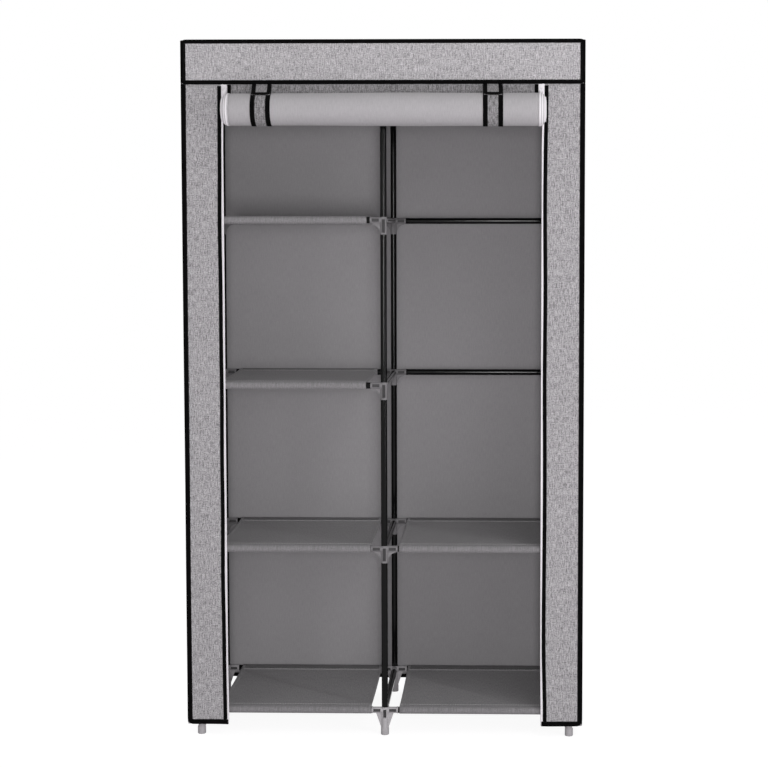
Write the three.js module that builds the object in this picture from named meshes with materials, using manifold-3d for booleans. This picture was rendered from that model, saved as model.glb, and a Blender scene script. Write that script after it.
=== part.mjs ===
// Portable fabric wardrobe: a knock-down frame of steel tubes pushed onto moulded connectors, fabric shelves
// sleeved over its rails, and a zipped non-woven cover whose door is rolled up under the header and tied.
// Millimetres. +X is to the right of someone who faces the door, the door faces -Y, +Z is up from the floor.

import * as THREE from "three";
import { mergeVertices } from "three/addons/utils/BufferGeometryUtils.js";
import Module from "manifold-3d";

const wasm = await Module();
wasm.setup();

// Fits
const seatGap = 0.3; // between pieces that touch
const overrun = 1; // how far a cut runs past a face
const weld = 0.2; // how deep one joined piece sinks into the next

// Steel tubes
const tubeRadius = 8;
const tubeWall = 0.8;
const tubeSides = 10;

// Moulded connectors
const hubRise = 8; // above the rail's axis
const hubDrop = 36; // below the rail's axis
const armReach = 33.7; // from the post's axis to the mouth of the rail's tube
const pegLength = 22;
const pegSides = 6;
const armSides = 8;
const gussetThickness = 5;
const gussetToe = 1.5;
const capBrim = 1.2;

// Feet, moulded in one with the bottom connectors
const bottomRailHeight = 63;
const footRadius = 10.5;
const footStraight = 18;
const footGussetReach = 20;
const footWindowWidth = 9;
const footWindowHeight = 20;
const footWindowBottom = 46;

// Holders of the hanging rail on the two top crossbars that it runs between
const holderRadius = 10.5;
const holderLength = 30;

// Cover
const coverWidth = 1000;
const coverDepth = 450;
const coverHeight = 1748;
const sideRoom = 33; // from a post's axis to the cover's outer side
const endRoom = 20; // from a post's axis to the cover's front and back
const topRoom = 31; // from the top rails' axis to the cover's top
const frontPanelWidth = 109; // from the corner to the middle of the zip
const headerHeight = 110;
const clothThickness = 2;
const bindingWidth = 10;
const bindingThickness = 4;
const bindingChamfer = 0.8;
const hemHeight = 28; // of the front and the sides
const backHemHeight = 35;
const hemBand = 12;
const hemThickness = 4.8;
const sideFoldDepth = 6;
const backFoldDepth = 3;
const sideFoldCount = 3;
const backFoldCount = 5;
const sideColumnCount = 18;
const backColumnCount = 30;
const topColumnCount = 16;
const topRowCount = 4;
const topSag = 8;

// Zips: a tape with its coil along each front panel's inner edge
const coilOffset = 1.2; // from the zip's centre line
const coilWidth = 3.4;
const coilThickness = 3.8;
const tapeWidth = 9.2; // from the coil's line to under the binding
const tapeThickness = 1.6;

// Zip sliders and their pulls
const sliderWidth = 12;
const sliderNarrowing = 0.4;
const sliderLength = 15;
const sliderShoulderShare = 0.6; // of the half length, where the top corners start
const sliderPlate = 1;
const sliderTopGap = 0.7; // below the header
const dividerLength = 9;
const archWidth = 3;
const archHeight = 3.2;
const archPlate = 1;
const archHalfLength = 4.6;
const archLean = 1;
const archLeg = 2;
const pullLength = 22;
const pullWidth = 8;
const pullTipWidth = 6;
const pullThickness = 1.2;
const pullRail = 1.9;
const pullWindow = 5.8; // below the pull's bar
const pullCorner = 1.5;

// Door rolled up from its hem, towards the front
const rollRadius = 41.5;
const rollDrop = 65; // of its axis below the header
const rollStandOff = 8; // behind it, to the plane of the zips
const rollEndOverhang = 6; // of the rolled zip tape past the zip's centre line
const doorInset = 8; // of the door's cloth from the zip's centre line
const doorThickness = 1.5;
const rollLayerThickness = 2.4; // of the cloth and the air under it
const rollSteps = 14; // to a turn
const stepShare = 0.3; // of a step that an arc may run over before it gets one more

// Ties round the roll, each with a short tab over its end
const strapWidth = 49;
const strapThickness = 1.6;
const strapLeftInset = 93; // of its middle from the left zip
const strapRightInset = 119; // of its middle from the right zip
const tieTurnShare = 2 / 3; // of a turn, over which a tie sinks in by one layer
const strapEndForward = 6;
const strapEndDrop = 4; // below the header
const tabThickness = 2;
const tabTurn = 0.14; // radians round the roll

// Shelves
const shelfInset = 42; // from the post's axis to the shelf's side
const sleeveThickness = 1.7;
const sheetThickness = 1.6;
const shelfSag = 5;
const shelfSteps = 8;

// Places that follow from the sizes above
const tubeBore = tubeRadius - tubeWall;
const hubRadius = tubeRadius; // the connectors are flush with the tubes
const pegRadius = tubeBore - seatGap;
const tierCount = 5;
const tierPitch = (coverHeight - topRoom - bottomRailHeight) / (tierCount - 1);
const levels = Array.from({ length: tierCount }, (_, tier) => bottomRailHeight + tier * tierPitch);
const top = tierCount - 1;
const halfWidth = coverWidth / 2;
const halfDepth = coverDepth / 2;
const postSpacing = halfWidth - sideRoom;
const frameHalfDepth = halfDepth - endRoom;
const railTubeLength = postSpacing - 2 * (armReach + seatGap);
const crossbarTubeLength = 2 * (frameHalfDepth - armReach - seatGap);
const halfCloth = clothThickness / 2;
const halfBinding = bindingThickness / 2;
const frontPlane = halfDepth - hemThickness / 2; // from the middle of the frame, as are the other planes
const sidePlane = halfWidth - halfBinding;
const panelEnd = frontPlane - hemThickness / 2 - seatGap;
const topPlane = coverHeight - bindingWidth / 2;
const capTop = topPlane - halfCloth - seatGap;
const headerBottom = coverHeight - headerHeight;
const panelTop = headerBottom - seatGap;
const wallTop = topPlane - halfBinding - seatGap;
const zipCentre = halfWidth - frontPanelWidth; // from the middle of the wardrobe
const rollHeight = headerBottom - rollDrop;
const rollForward = rollStandOff + rollRadius; // of the roll's axis from the plane of the zips
const strapPlaces = { left: strapLeftInset - zipCentre, right: zipCentre - strapRightInset };

// Materials, in the photograph's colours
function material(colour, roughness, metalness = 0) {
  return new THREE.MeshStandardMaterial({ color: colour, roughness, metalness });
}
const blackSteel = material(0x17161a, 0.42, 0.35);
const heatherCloth = material(0xa6a4a7, 0.95);
const innerCloth = material(0x7d7b7e, 0.95);
const rolledCloth = material(0xb3b1b4, 0.9);
const shelfCloth = material(0x8b898c, 0.95);
const whiteMetal = material(0xe8e7e6, 0.35, 0.2);

// Booleans
function solidOf(geometry) {
  const bare = geometry.clone();
  bare.deleteAttribute("normal");
  bare.deleteAttribute("uv");
  const merged = mergeVertices(bare);
  const vertProperties = merged.getAttribute("position").array;
  const triVerts = new Uint32Array(merged.getIndex().array);
  return new wasm.Manifold(new wasm.Mesh({ numProp: 3, vertProperties, triVerts }));
}

function geometryOf(solid) {
  const { vertProperties, triVerts } = solid.getMesh();
  const geometry = new THREE.BufferGeometry();
  geometry.setAttribute("position", new THREE.BufferAttribute(vertProperties, 3));
  geometry.setIndex(new THREE.BufferAttribute(triVerts, 1));
  geometry.computeVertexNormals();
  return geometry;
}

function joined(pieces, cuts = []) {
  const whole = pieces.map(solidOf).reduce((sum, piece) => sum.add(piece));
  return geometryOf(cuts.map(solidOf).reduce((rest, cut) => rest.subtract(cut), whole));
}

// Outlines and prisms
const around = (inner, sides) => inner / Math.cos(Math.PI / sides); // corners of a polygon round a circle

function shapeOf(points) {
  return new THREE.Shape(points.map(([x, y]) => new THREE.Vector2(x, y)));
}

function polygon(radius, sides, [x, y] = [0, 0]) {
  return Array.from({ length: sides }, (_, corner) => {
    const turn = (2 * Math.PI * corner) / sides;
    return [x + radius * Math.cos(turn), y + radius * Math.sin(turn)];
  });
}

function prism(shape, length) {
  return new THREE.ExtrudeGeometry(shape, { depth: length, bevelEnabled: false });
}

// A section drawn as [y, z], carried along X and centred
function acrossWidth(shape, width) {
  const turn = new THREE.Matrix4().makeBasis(
    new THREE.Vector3(0, 1, 0), new THREE.Vector3(0, 0, 1), new THREE.Vector3(1, 0, 0));
  return prism(shape, width).applyMatrix4(turn).translate(-width / 2, 0, 0);
}

// A front view drawn as [x, z], carried along Y and centred
function throughDepth(shape, depth) {
  return prism(shape, depth).rotateX(Math.PI / 2).translate(0, depth / 2, 0);
}

// A revolved outline given as [radius, z], on the Z axis
function revolved(points) {
  const profile = points.map(([radius, height]) => new THREE.Vector2(radius, height));
  return new THREE.LatheGeometry(profile, tubeSides).rotateX(Math.PI / 2);
}

// A band of even thickness along a line of [y, z] points
function ribbon(path, thickness) {
  const sides = [[], []];
  path.forEach(([y, z], at) => {
    const [y0, z0] = path[Math.max(at - 1, 0)];
    const [y1, z1] = path[Math.min(at + 1, path.length - 1)];
    const run = Math.hypot(y1 - y0, z1 - z0);
    const [ny, nz] = [(z0 - z1) / run, (y1 - y0) / run];
    sides[0].push([y + (ny * thickness) / 2, z + (nz * thickness) / 2]);
    sides[1].unshift([y - (ny * thickness) / 2, z - (nz * thickness) / 2]);
  });
  return shapeOf([...sides[0], ...sides[1]]);
}

// Tubes
function tube(length) {
  const ring = shapeOf(polygon(tubeRadius, tubeSides));
  ring.holes.push(shapeOf(polygon(around(tubeBore, tubeSides), tubeSides)));
  return prism(ring, length).translate(0, 0, -length / 2);
}

// Arm of a connector along +X, with the peg that the rail's tube is pushed over
function arm() {
  const sleeve = prism(shapeOf(polygon(hubRadius, armSides)), armReach);
  const peg = prism(shapeOf(polygon(pegRadius, pegSides)), pegLength + weld);
  return [sleeve, peg.translate(0, 0, armReach - weld)].map((piece) => piece.rotateY(Math.PI / 2));
}

// Web under an arm. A foot's web is shorter and runs down to the top of the straight foot.
function gusset(isFoot) {
  const outline = isFoot
    ? [[0, 0], [footGussetReach, 0], [footGussetReach, -hubRadius],
       [footRadius, footStraight - bottomRailHeight], [0, footStraight - bottomRailHeight]]
    : [[0, 0], [armReach, 0], [armReach, -hubRadius - gussetToe], [hubRadius, -hubDrop], [0, -hubDrop]];
  return throughDepth(shapeOf(outline), gussetThickness);
}

// One upright: foot, five connectors, the four tubes between them and the cap under the cover. arms lists,
// for each heading, the tiers that have an arm there. outward is the heading of the foot's window.
function upright(arms, outward) {
  const outline = [[0, 0], [footRadius, 0], [footRadius, footStraight],
                   [hubRadius, footStraight + footRadius - hubRadius]];
  const capBase = levels[top] + hubRise;
  const capRise = capTop - capBase;
  const capShares = [[1, 0.12], [1, 0.4], [0.84, 0.75], [0.5, 0.96], [0, 1]];
  for (const [across, up] of capShares) {
    outline.push([(hubRadius + capBrim) * across, capBase + capRise * up]);
  }
  const pieces = [revolved(outline)];
  for (const [heading, tiers] of arms) {
    for (const tier of tiers) {
      for (const piece of [...arm(), gusset(tier === 0)]) {
        pieces.push(piece.rotateZ(heading).translate(0, 0, levels[tier]));
      }
    }
  }
  const bore = prism(shapeOf(polygon(around(tubeBore, tubeSides), tubeSides)), levels[top] + overrun)
    .translate(0, 0, -overrun);
  const window = new THREE.BoxGeometry(footRadius + overrun, footWindowWidth, footWindowHeight)
    .translate((footRadius + overrun) / 2, 0, footWindowBottom + footWindowHeight / 2)
    .rotateZ(outward);
  return joined(pieces, [bore, window]);
}

// A top crossbar with the holder of the hanging rail moulded round its middle, its arm towards side
function holderCrossbar(side) {
  const sleeve = prism(shapeOf(polygon(holderRadius, tubeSides)), holderLength);
  const pieces = [tube(crossbarTubeLength), sleeve.translate(0, 0, -holderLength / 2)];
  const bar = pieces.map((piece) => piece.rotateX(Math.PI / 2));
  const arms = arm().map((piece) => piece.rotateY(side > 0 ? 0 : Math.PI));
  const boreRadius = around(tubeBore, tubeSides);
  const length = crossbarTubeLength + 2 * overrun;
  const bore = prism(shapeOf(polygon(boreRadius, tubeSides)), length).translate(0, 0, -length / 2);
  return joined([...bar, ...arms], [bore.rotateX(Math.PI / 2)]);
}

// Cloth: a closed sheet over a grid, x from x0 to x1 and z from z0 to z1, each point moved along Y by lean
function sheet([x0, x1, columns], [z0, z1, rows = 1], lean, thickness) {
  const corners = [];
  const faces = [];
  const stride = columns + 1;
  const layer = stride * (rows + 1);
  for (const half of [-thickness / 2, thickness / 2]) {
    for (let row = 0; row <= rows; row++) {
      for (let column = 0; column <= columns; column++) {
        const x = x0 + ((x1 - x0) * column) / columns;
        const z = z0 + ((z1 - z0) * row) / rows;
        corners.push(x, lean(x, z) + half, z);
      }
    }
  }
  const quad = (a, b, c, d) => faces.push(a, b, c, a, c, d);
  for (let row = 0; row < rows; row++) {
    for (let column = 0; column < columns; column++) {
      const at = row * stride + column;
      quad(at, at + 1, at + 1 + stride, at + stride);
      quad(layer + at, layer + at + stride, layer + at + 1 + stride, layer + at + 1);
    }
  }
  for (let column = 0; column < columns; column++) {
    const high = rows * stride + column;
    quad(column, column + layer, column + 1 + layer, column + 1);
    quad(high, high + 1, high + 1 + layer, high + layer);
  }
  for (let row = 0; row < rows; row++) {
    const left = row * stride;
    const right = left + columns;
    quad(left, left + stride, left + stride + layer, left + layer);
    quad(right, right + layer, right + stride + layer, right + stride);
  }
  const geometry = new THREE.BufferGeometry();
  geometry.setAttribute("position", new THREE.Float32BufferAttribute(corners, 3));
  geometry.setIndex(faces);
  geometry.computeVertexNormals();
  return geometry;
}

// The stations of a strip's section from start to end, with sloped edges
function bound(start, end, thickness) {
  return [[start, thickness / 2 - bindingChamfer], [start + bindingChamfer, thickness / 2],
          [end - bindingChamfer, thickness / 2], [end, thickness / 2 - bindingChamfer]];
}

// A strip's section from [place, half thickness] stations
function section(stations) {
  return shapeOf([...stations.map(([at, half]) => [at, -half]), ...stations.toReversed()]);
}

const folds = (share, count) => (1 - Math.cos(2 * Math.PI * count * share)) / 2;

// Front panel to the right of the door: coil, zip tape, inner binding, cloth and the corner's binding.
// Drawn from the zip's centre line outwards.
function frontPanel() {
  const bindingStart = coilOffset + tapeWidth;
  const stations = [
    ...bound(coilOffset, coilOffset + coilWidth, coilThickness),
    [coilOffset + coilWidth, tapeThickness / 2], [bindingStart, tapeThickness / 2],
    ...bound(bindingStart, bindingStart + bindingWidth, bindingThickness),
    [bindingStart + bindingWidth, halfCloth], [frontPanelWidth - bindingWidth, halfCloth],
    ...bound(frontPanelWidth - bindingWidth, frontPanelWidth, bindingThickness),
  ];
  const panel = prism(section(stations), panelTop - hemHeight).translate(0, 0, hemHeight);
  const hem = prism(section(bound(coilOffset + coilWidth, frontPanelWidth, hemThickness)), hemBand);
  return joined([panel, hem.translate(0, 0, hemHeight)]);
}

function sidePanel() {
  const fade = (z) => sideFoldDepth * (1 - z / coverHeight);
  const lean = (y, z) => fade(z) * folds(y / (2 * panelEnd) + 1 / 2, sideFoldCount);
  const across = [-panelEnd, panelEnd, sideColumnCount];
  return joined([
    sheet(across, [hemHeight, wallTop], lean, clothThickness),
    sheet(across, [hemHeight, hemHeight + hemBand], lean, bindingThickness - 2 * seatGap),
  ]);
}

function backPanel() {
  const fade = (z) => -backFoldDepth * (1 - z / coverHeight);
  const lean = (x, z) => fade(z) * folds(x / coverWidth + 1 / 2, backFoldCount);
  const across = [weld - halfWidth, halfWidth - weld, backColumnCount];
  const binding = prism(section(bound(0, bindingWidth, bindingThickness)), wallTop - backHemHeight);
  return joined([
    sheet(across, [backHemHeight, wallTop], lean, clothThickness),
    sheet(across, [backHemHeight, backHemHeight + hemBand], lean, bindingThickness),
    binding.clone().translate(-halfWidth, 0, backHemHeight),
    binding.clone().translate(halfWidth - bindingWidth, 0, backHemHeight),
  ]);
}

// Top panel, resting on the six caps and sagging between them, with a binding on its sides and back
function topPanel() {
  const depth = halfDepth + panelEnd;
  const acrossBays = (x) => (Math.abs(x) < postSpacing ? Math.sin((Math.PI * x) / postSpacing) ** 2 : 0);
  const lean = (x, y) => topSag * acrossBays(x) * Math.sin((Math.PI * y) / depth);
  const binding = section(bound(0, bindingWidth, bindingThickness));
  const side = prism(binding, depth);
  const back = prism(binding, coverWidth - 2 * weld);
  const across = [weld - halfWidth, halfWidth - weld, topColumnCount];
  return joined([
    sheet(across, [weld, depth - weld, topRowCount], lean, clothThickness),
    side.clone().translate(-halfWidth, 0, 0),
    side.clone().translate(halfWidth - bindingWidth, 0, 0),
    back.rotateY(Math.PI / 2).translate(weld - halfWidth, 0, depth),
  ]).rotateX(-Math.PI / 2);
}

function header() {
  const stations = [
    ...bound(0, bindingWidth, bindingThickness),
    [bindingWidth, halfCloth], [headerHeight - bindingWidth, halfCloth],
    ...bound(headerHeight - bindingWidth, headerHeight, bindingThickness),
  ].map(([z, half]) => [half, z]);
  const band = shapeOf([...stations, ...stations.toReversed().map(([half, z]) => [-half, z])]);
  const corner = prism(section(bound(0, bindingWidth, bindingThickness)), headerHeight - 2 * weld);
  return joined([
    acrossWidth(band, coverWidth - 2 * weld),
    corner.clone().translate(-halfWidth, 0, weld),
    corner.clone().translate(halfWidth - bindingWidth, 0, weld),
  ]);
}

// The roll's circle, in [y, z] from its axis: turn 0 is its top and a quarter turn on is its front
const onRoll = (radius, turn) => [-radius * Math.sin(turn), radius * Math.cos(turn)];

// Where a line from a point meets a circle round the roll's axis, on the side asked for
function tangentTurn([y, z], radius, side) {
  return Math.atan2(-y, z) + side * Math.acos(radius / Math.hypot(y, z));
}

function arc([fromRadius, toRadius], [from, to]) {
  const steps = Math.ceil((Math.abs(to - from) * rollSteps) / (2 * Math.PI) - stepShare);
  return Array.from({ length: steps + 1 }, (_, step) =>
    onRoll(fromRadius + ((toRadius - fromRadius) * step) / steps, from + ((to - from) * step) / steps));
}

// A tie's end under its tab, from the roll's axis, the radii that the tie's middle starts and ends on as it
// follows the roll's outer turn, and the turn where it leaves the roll for its end
const strapEnd = [rollForward - strapEndForward, headerBottom - strapEndDrop - rollHeight];
const strapRadius = rollRadius + strapThickness / 2 - weld;
const strapEndRadius = strapRadius - rollLayerThickness * tieTurnShare;
const strapTurn = tangentTurn(strapEnd, strapEndRadius, 1);

// Door: the strip below the header, the roll in one unbroken spiral, and the two ties sewn to the strip
function rolledDoor() {
  const head = [rollForward, panelTop - rollHeight];
  const outer = rollRadius - doorThickness / 2;
  const from = tangentTurn(head, outer, -1);
  const rolledLength = panelTop - hemHeight - Math.hypot(rollForward, head[1]);
  const core = Math.sqrt(outer ** 2 - (rolledLength * rollLayerThickness) / Math.PI);
  const turns = Math.round(((outer - core) / rollLayerThickness) * rollSteps) / rollSteps;
  const spiral = arc([outer, outer - rollLayerThickness * turns], [from, from - 2 * Math.PI * turns]);
  const strip = [head, onRoll(outer, from), onRoll(outer - weld, from - Math.PI / rollSteps)];
  const tieHead = [head[0] + (doorThickness + strapThickness) / 2 - weld, head[1]];
  const tieTurns = [tangentTurn(tieHead, strapRadius, -1), strapTurn - 2 * Math.PI];
  const tie = [tieHead, ...arc([strapRadius, strapEndRadius], tieTurns), strapEnd];
  const tieLoop = acrossWidth(ribbon(tie, strapThickness), strapWidth);
  return joined([
    acrossWidth(ribbon(spiral, doorThickness), 2 * (zipCentre + rollEndOverhang)),
    acrossWidth(ribbon(strip, doorThickness), 2 * (zipCentre - doorInset)),
    ...Object.values(strapPlaces).map((x) => tieLoop.clone().translate(x, 0, 0)),
  ]);
}

// Tab over the tie's end, from its hinge at the header's seam down to the roll, drawn from the hinge
const tabRadius = strapEndRadius + (strapThickness + tabThickness) / 2 + seatGap;
const tabHinge = (() => {
  const [y, z] = onRoll(tabRadius, strapTurn);
  const hingeY = rollForward - halfBinding - seatGap - tabThickness / 2;
  return [hingeY, z + (hingeY - y) * Math.tan(strapTurn)];
})();

function strapTab() {
  const wrap = arc([tabRadius, tabRadius], [strapTurn, strapTurn + tabTurn]);
  const path = [tabHinge, ...wrap].map(([y, z]) => [y - tabHinge[0], z - tabHinge[1]]);
  return acrossWidth(ribbon(path, tabThickness), strapWidth);
}

// Slider of a zip: two plates, the divider between them, a channel for each coil and the arch for the pull
const channelDepth = coilThickness + 2 * seatGap;
const sliderThickness = channelDepth + 2 * sliderPlate;

function slider() {
  const [halfTop, halfFoot, half] = [sliderWidth / 2, sliderWidth / 2 - sliderNarrowing, sliderLength / 2];
  const shoulder = half * sliderShoulderShare;
  const body = shapeOf([[-halfFoot, -half], [halfFoot, -half], [halfTop, 0], [halfTop, shoulder],
                        [halfTop - sliderPlate, half], [sliderPlate - halfTop, half], [-halfTop, shoulder],
                        [-halfTop, 0]]);
  const front = -sliderThickness / 2;
  const archTop = front - archHeight;
  const arch = shapeOf([
    [front + weld, -archHalfLength], [archTop, archLean - archHalfLength],
    [archTop, archHalfLength - archLean], [front + weld, archHalfLength],
    [front + weld, archHalfLength - archLeg],
    [archTop + archPlate, archHalfLength - archLeg], [archTop + archPlate, archLeg - archHalfLength],
    [front + weld, archLeg - archHalfLength],
  ]);
  const channelWidth = coilWidth + 2 * seatGap;
  const long = sliderLength + 2 * overrun;
  const channel = new THREE.BoxGeometry(channelWidth, channelDepth, long);
  const slot = new THREE.BoxGeometry(sliderWidth, tapeThickness + 2 * seatGap, long);
  const below = sliderLength - dividerLength + overrun;
  const open = new THREE.BoxGeometry(2 * coilOffset, channelDepth, below);
  const cuts = [open.translate(0, 0, below / 2 - overrun - half)];
  for (const side of [-1, 1]) {
    cuts.push(channel.clone().translate(side * (coilOffset + coilWidth / 2), 0, 0));
    cuts.push(slot.clone().translate(side * (coilOffset + coilWidth / 2 + sliderWidth / 2), 0, 0));
  }
  return joined([throughDepth(body, sliderThickness), acrossWidth(arch, archWidth)], cuts);
}

// Pull: a plate with a window whose top bar turns under the slider's arch, drawn from that bar's axis
function pull() {
  const [half, tip, bar] = [pullWidth / 2, pullTipWidth / 2, pullThickness / 2];
  const plate = shapeOf([[-half, bar], [-tip, pullCorner - pullLength], [pullCorner - tip, -pullLength],
                         [tip - pullCorner, -pullLength], [tip, pullCorner - pullLength], [half, bar]]);
  const open = half - pullRail;
  const foot = -bar - pullWindow;
  plate.holes.push(shapeOf([[-open, -bar], [open, -bar], [open, foot], [-open, foot]]));
  return throughDepth(plate, pullThickness);
}

// Shelf: a sheet with a sleeve over the front rail and one over the rear rail, drawn from the rails' level
function shelf() {
  const outer = around(tubeRadius + seatGap, tubeSides) + sleeveThickness;
  const meet = Math.asin((outer - sheetThickness) / outer);
  const sleeve = (from, to, place) => Array.from({ length: shelfSteps + 1 }, (_, step) => {
    const turn = from + ((to - from) * step) / shelfSteps;
    return [place + outer * Math.cos(turn), outer * Math.sin(turn)];
  });
  const span = (height, from, to) => Array.from({ length: shelfSteps - 1 }, (_, step) => {
    const share = (step + 1) / shelfSteps;
    return [from + (to - from) * share, height - shelfSag * 4 * share * (1 - share)];
  });
  const reach = frameHalfDepth - outer * Math.cos(meet);
  const outline = shapeOf([
    ...sleeve(Math.PI / 2, 2 * Math.PI + meet, -frameHalfDepth),
    ...span(outer - sheetThickness, -reach, reach),
    ...sleeve(Math.PI - meet, (5 * Math.PI) / 2, frameHalfDepth),
    ...span(outer, frameHalfDepth, -frameHalfDepth),
  ]);
  for (const side of [-1, 1]) {
    const hole = polygon(around(tubeRadius + seatGap, tubeSides), tubeSides, [side * frameHalfDepth, 0]);
    outline.holes.push(shapeOf(hole));
  }
  return acrossWidth(outline, postSpacing - 2 * shelfInset);
}

// Assembly
const wardrobe = new THREE.Group();
const frame = new THREE.Group();
const cover = new THREE.Group();
wardrobe.add(frame, cover);

function place(parent, name, geometry, look, [x, y, z] = [0, 0, 0], [turnX, turnY, turnZ] = [0, 0, 0]) {
  const mesh = new THREE.Mesh(geometry, look);
  mesh.name = name;
  mesh.position.set(x, y, z);
  mesh.rotation.set(turnX, turnY, turnZ);
  parent.add(mesh);
}

// Uprights and the tubes between them. The right bay has no front rail on the two tiers beside hung clothes.
const allTiers = [...levels.keys()];
const openTiers = [2, 3];
const rightFrontTiers = allTiers.filter((tier) => !openTiers.includes(tier));
const columns = { left: -postSpacing, centre: 0, right: postSpacing };
const rows = { front: -1, rear: 1 };
const [toRight, toLeft, toBack, toFront] = [0, Math.PI, Math.PI / 2, -Math.PI / 2];

for (const [row, side] of Object.entries(rows)) {
  const [inward, outward] = side < 0 ? [toBack, toFront] : [toFront, toBack];
  const rightTiers = side < 0 ? rightFrontTiers : allTiers;
  for (const [column, x] of Object.entries(columns)) {
    const arms = [[inward, allTiers]];
    if (column !== "left") arms.push([toLeft, column === "right" ? rightTiers : allTiers]);
    if (column !== "right") arms.push([toRight, column === "centre" ? rightTiers : allTiers]);
    place(frame, `upright_${row}_${column}`, upright(arms, outward), blackSteel,
          [x, side * frameHalfDepth, 0]);
  }
  for (const [bay, middle, tiers] of [["left", -1 / 2, allTiers], ["right", 1 / 2, rightTiers]]) {
    for (const tier of tiers) {
      place(frame, `rail_${bay}_${row}_${tier + 1}`, tube(railTubeLength), blackSteel,
            [middle * postSpacing, side * frameHalfDepth, levels[tier]], [0, Math.PI / 2, 0]);
    }
  }
}
for (const [column, x] of Object.entries(columns)) {
  for (const tier of allTiers) {
    const holds = tier === top && column !== "left";
    const geometry = holds ? holderCrossbar(column === "centre" ? 1 : -1) : tube(crossbarTubeLength);
    place(frame, `crossbar_${column}_${tier + 1}`, geometry, blackSteel, [x, 0, levels[tier]],
          [holds ? 0 : Math.PI / 2, 0, 0]);
  }
}
place(frame, "hanging_rail", tube(railTubeLength), blackSteel, [postSpacing / 2, 0, levels[top]],
      [0, Math.PI / 2, 0]);

// Shelves: four in the left bay, two in the right
for (const [bay, middle, tiers] of [["left", -1 / 2, [0, 1, 2, 3]], ["right", 1 / 2, [0, 1]]]) {
  for (const tier of tiers) {
    place(frame, `shelf_${bay}_${tier + 1}`, shelf(), shelfCloth, [middle * postSpacing, 0, levels[tier]]);
  }
}

// Cover
place(cover, "cover_back", backPanel(), innerCloth, [0, frontPlane, 0]);
place(cover, "cover_left_side", sidePanel(), heatherCloth, [-sidePlane, 0, 0], [0, 0, -Math.PI / 2]);
place(cover, "cover_right_side", sidePanel(), heatherCloth, [sidePlane, 0, 0], [0, 0, Math.PI / 2]);
place(cover, "cover_top", topPanel(), heatherCloth, [0, -panelEnd, topPlane]);
place(cover, "cover_header", header(), heatherCloth, [0, -frontPlane, headerBottom]);
place(cover, "cover_front_right", frontPanel(), heatherCloth, [zipCentre, -frontPlane, 0]);
place(cover, "cover_front_left", frontPanel(), heatherCloth, [-zipCentre, -frontPlane, 0], [0, 0, Math.PI]);
place(cover, "rolled_door", rolledDoor(), rolledCloth, [0, -frontPlane - rollForward, rollHeight]);
const tabPlace = [tabHinge[0] - frontPlane - rollForward, tabHinge[1] + rollHeight];
for (const [side, x] of Object.entries(strapPlaces)) {
  place(cover, `strap_tab_${side}`, strapTab(), heatherCloth, [x, ...tabPlace]);
}
const sliderHeight = headerBottom - sliderTopGap - sliderLength / 2;
const pullForward = sliderThickness / 2 + (archHeight - archPlate) / 2;
for (const [side, x] of [["left", -zipCentre], ["right", zipCentre]]) {
  place(cover, `zip_slider_${side}`, slider(), whiteMetal, [x, -frontPlane, sliderHeight]);
  place(cover, `zip_pull_${side}`, pull(), whiteMetal, [x, -frontPlane - pullForward, sliderHeight]);
}

// The origin is on the floor under the middle of the whole, and the roll overhangs the front
wardrobe.updateMatrixWorld(true);
wardrobe.position.y = -new THREE.Box3().setFromObject(wardrobe).getCenter(new THREE.Vector3()).y;
wardrobe.updateMatrixWorld(true);

export default wardrobe;
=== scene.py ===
# %% [markdown]
# # A zipped cloth wardrobe on a push-together tube frame
# The wardrobe is two things: a cage of thin black tubes pushed onto moulded connectors, and a sewn cover
# of non-woven cloth that is dropped over it. The solids of both come in as a fixed frame, in metres, with
# +X to the right, the door towards -Y and +Z up. This notebook dresses that frame. Each step says what
# the piece is on the real wardrobe, how it could be made in Blender, and why this way was picked.

# %% The frame
import math

import bmesh
import bpy
import numpy as np
from mathutils import Matrix, Vector


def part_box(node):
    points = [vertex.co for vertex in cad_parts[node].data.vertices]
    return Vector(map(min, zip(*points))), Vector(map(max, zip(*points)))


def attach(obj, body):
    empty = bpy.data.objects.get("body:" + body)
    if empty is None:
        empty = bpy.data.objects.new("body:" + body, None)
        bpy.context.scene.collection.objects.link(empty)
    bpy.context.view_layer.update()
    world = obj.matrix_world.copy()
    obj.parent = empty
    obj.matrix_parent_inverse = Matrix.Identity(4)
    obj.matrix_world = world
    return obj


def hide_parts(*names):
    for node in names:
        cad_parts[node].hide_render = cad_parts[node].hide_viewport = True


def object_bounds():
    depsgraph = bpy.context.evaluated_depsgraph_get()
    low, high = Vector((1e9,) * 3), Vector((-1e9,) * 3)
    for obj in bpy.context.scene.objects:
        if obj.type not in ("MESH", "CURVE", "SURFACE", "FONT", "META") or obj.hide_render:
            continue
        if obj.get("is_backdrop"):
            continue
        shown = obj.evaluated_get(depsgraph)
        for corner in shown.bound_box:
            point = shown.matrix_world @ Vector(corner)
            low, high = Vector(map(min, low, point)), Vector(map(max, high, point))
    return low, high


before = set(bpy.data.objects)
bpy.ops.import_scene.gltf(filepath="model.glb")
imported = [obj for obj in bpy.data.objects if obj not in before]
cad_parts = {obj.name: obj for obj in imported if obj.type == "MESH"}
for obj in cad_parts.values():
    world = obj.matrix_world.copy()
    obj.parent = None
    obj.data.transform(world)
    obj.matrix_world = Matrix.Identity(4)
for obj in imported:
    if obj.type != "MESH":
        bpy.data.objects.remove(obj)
solid_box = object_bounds()
MM = 0.001
print("solids:", len(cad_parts))

# %% [markdown]
# ## Places
# The wardrobe's heights and planes are read from the solids' boxes, so a new size in the source moves the
# cloth, the tubes and the stitches with it. Only sizes that no box shows are written down.

# %% Places read from the solids
def box(node):
    low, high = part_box(node)
    return np.array(low), np.array(high)


def middle(node):
    low, high = box(node)
    return (low + high) / 2


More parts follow.
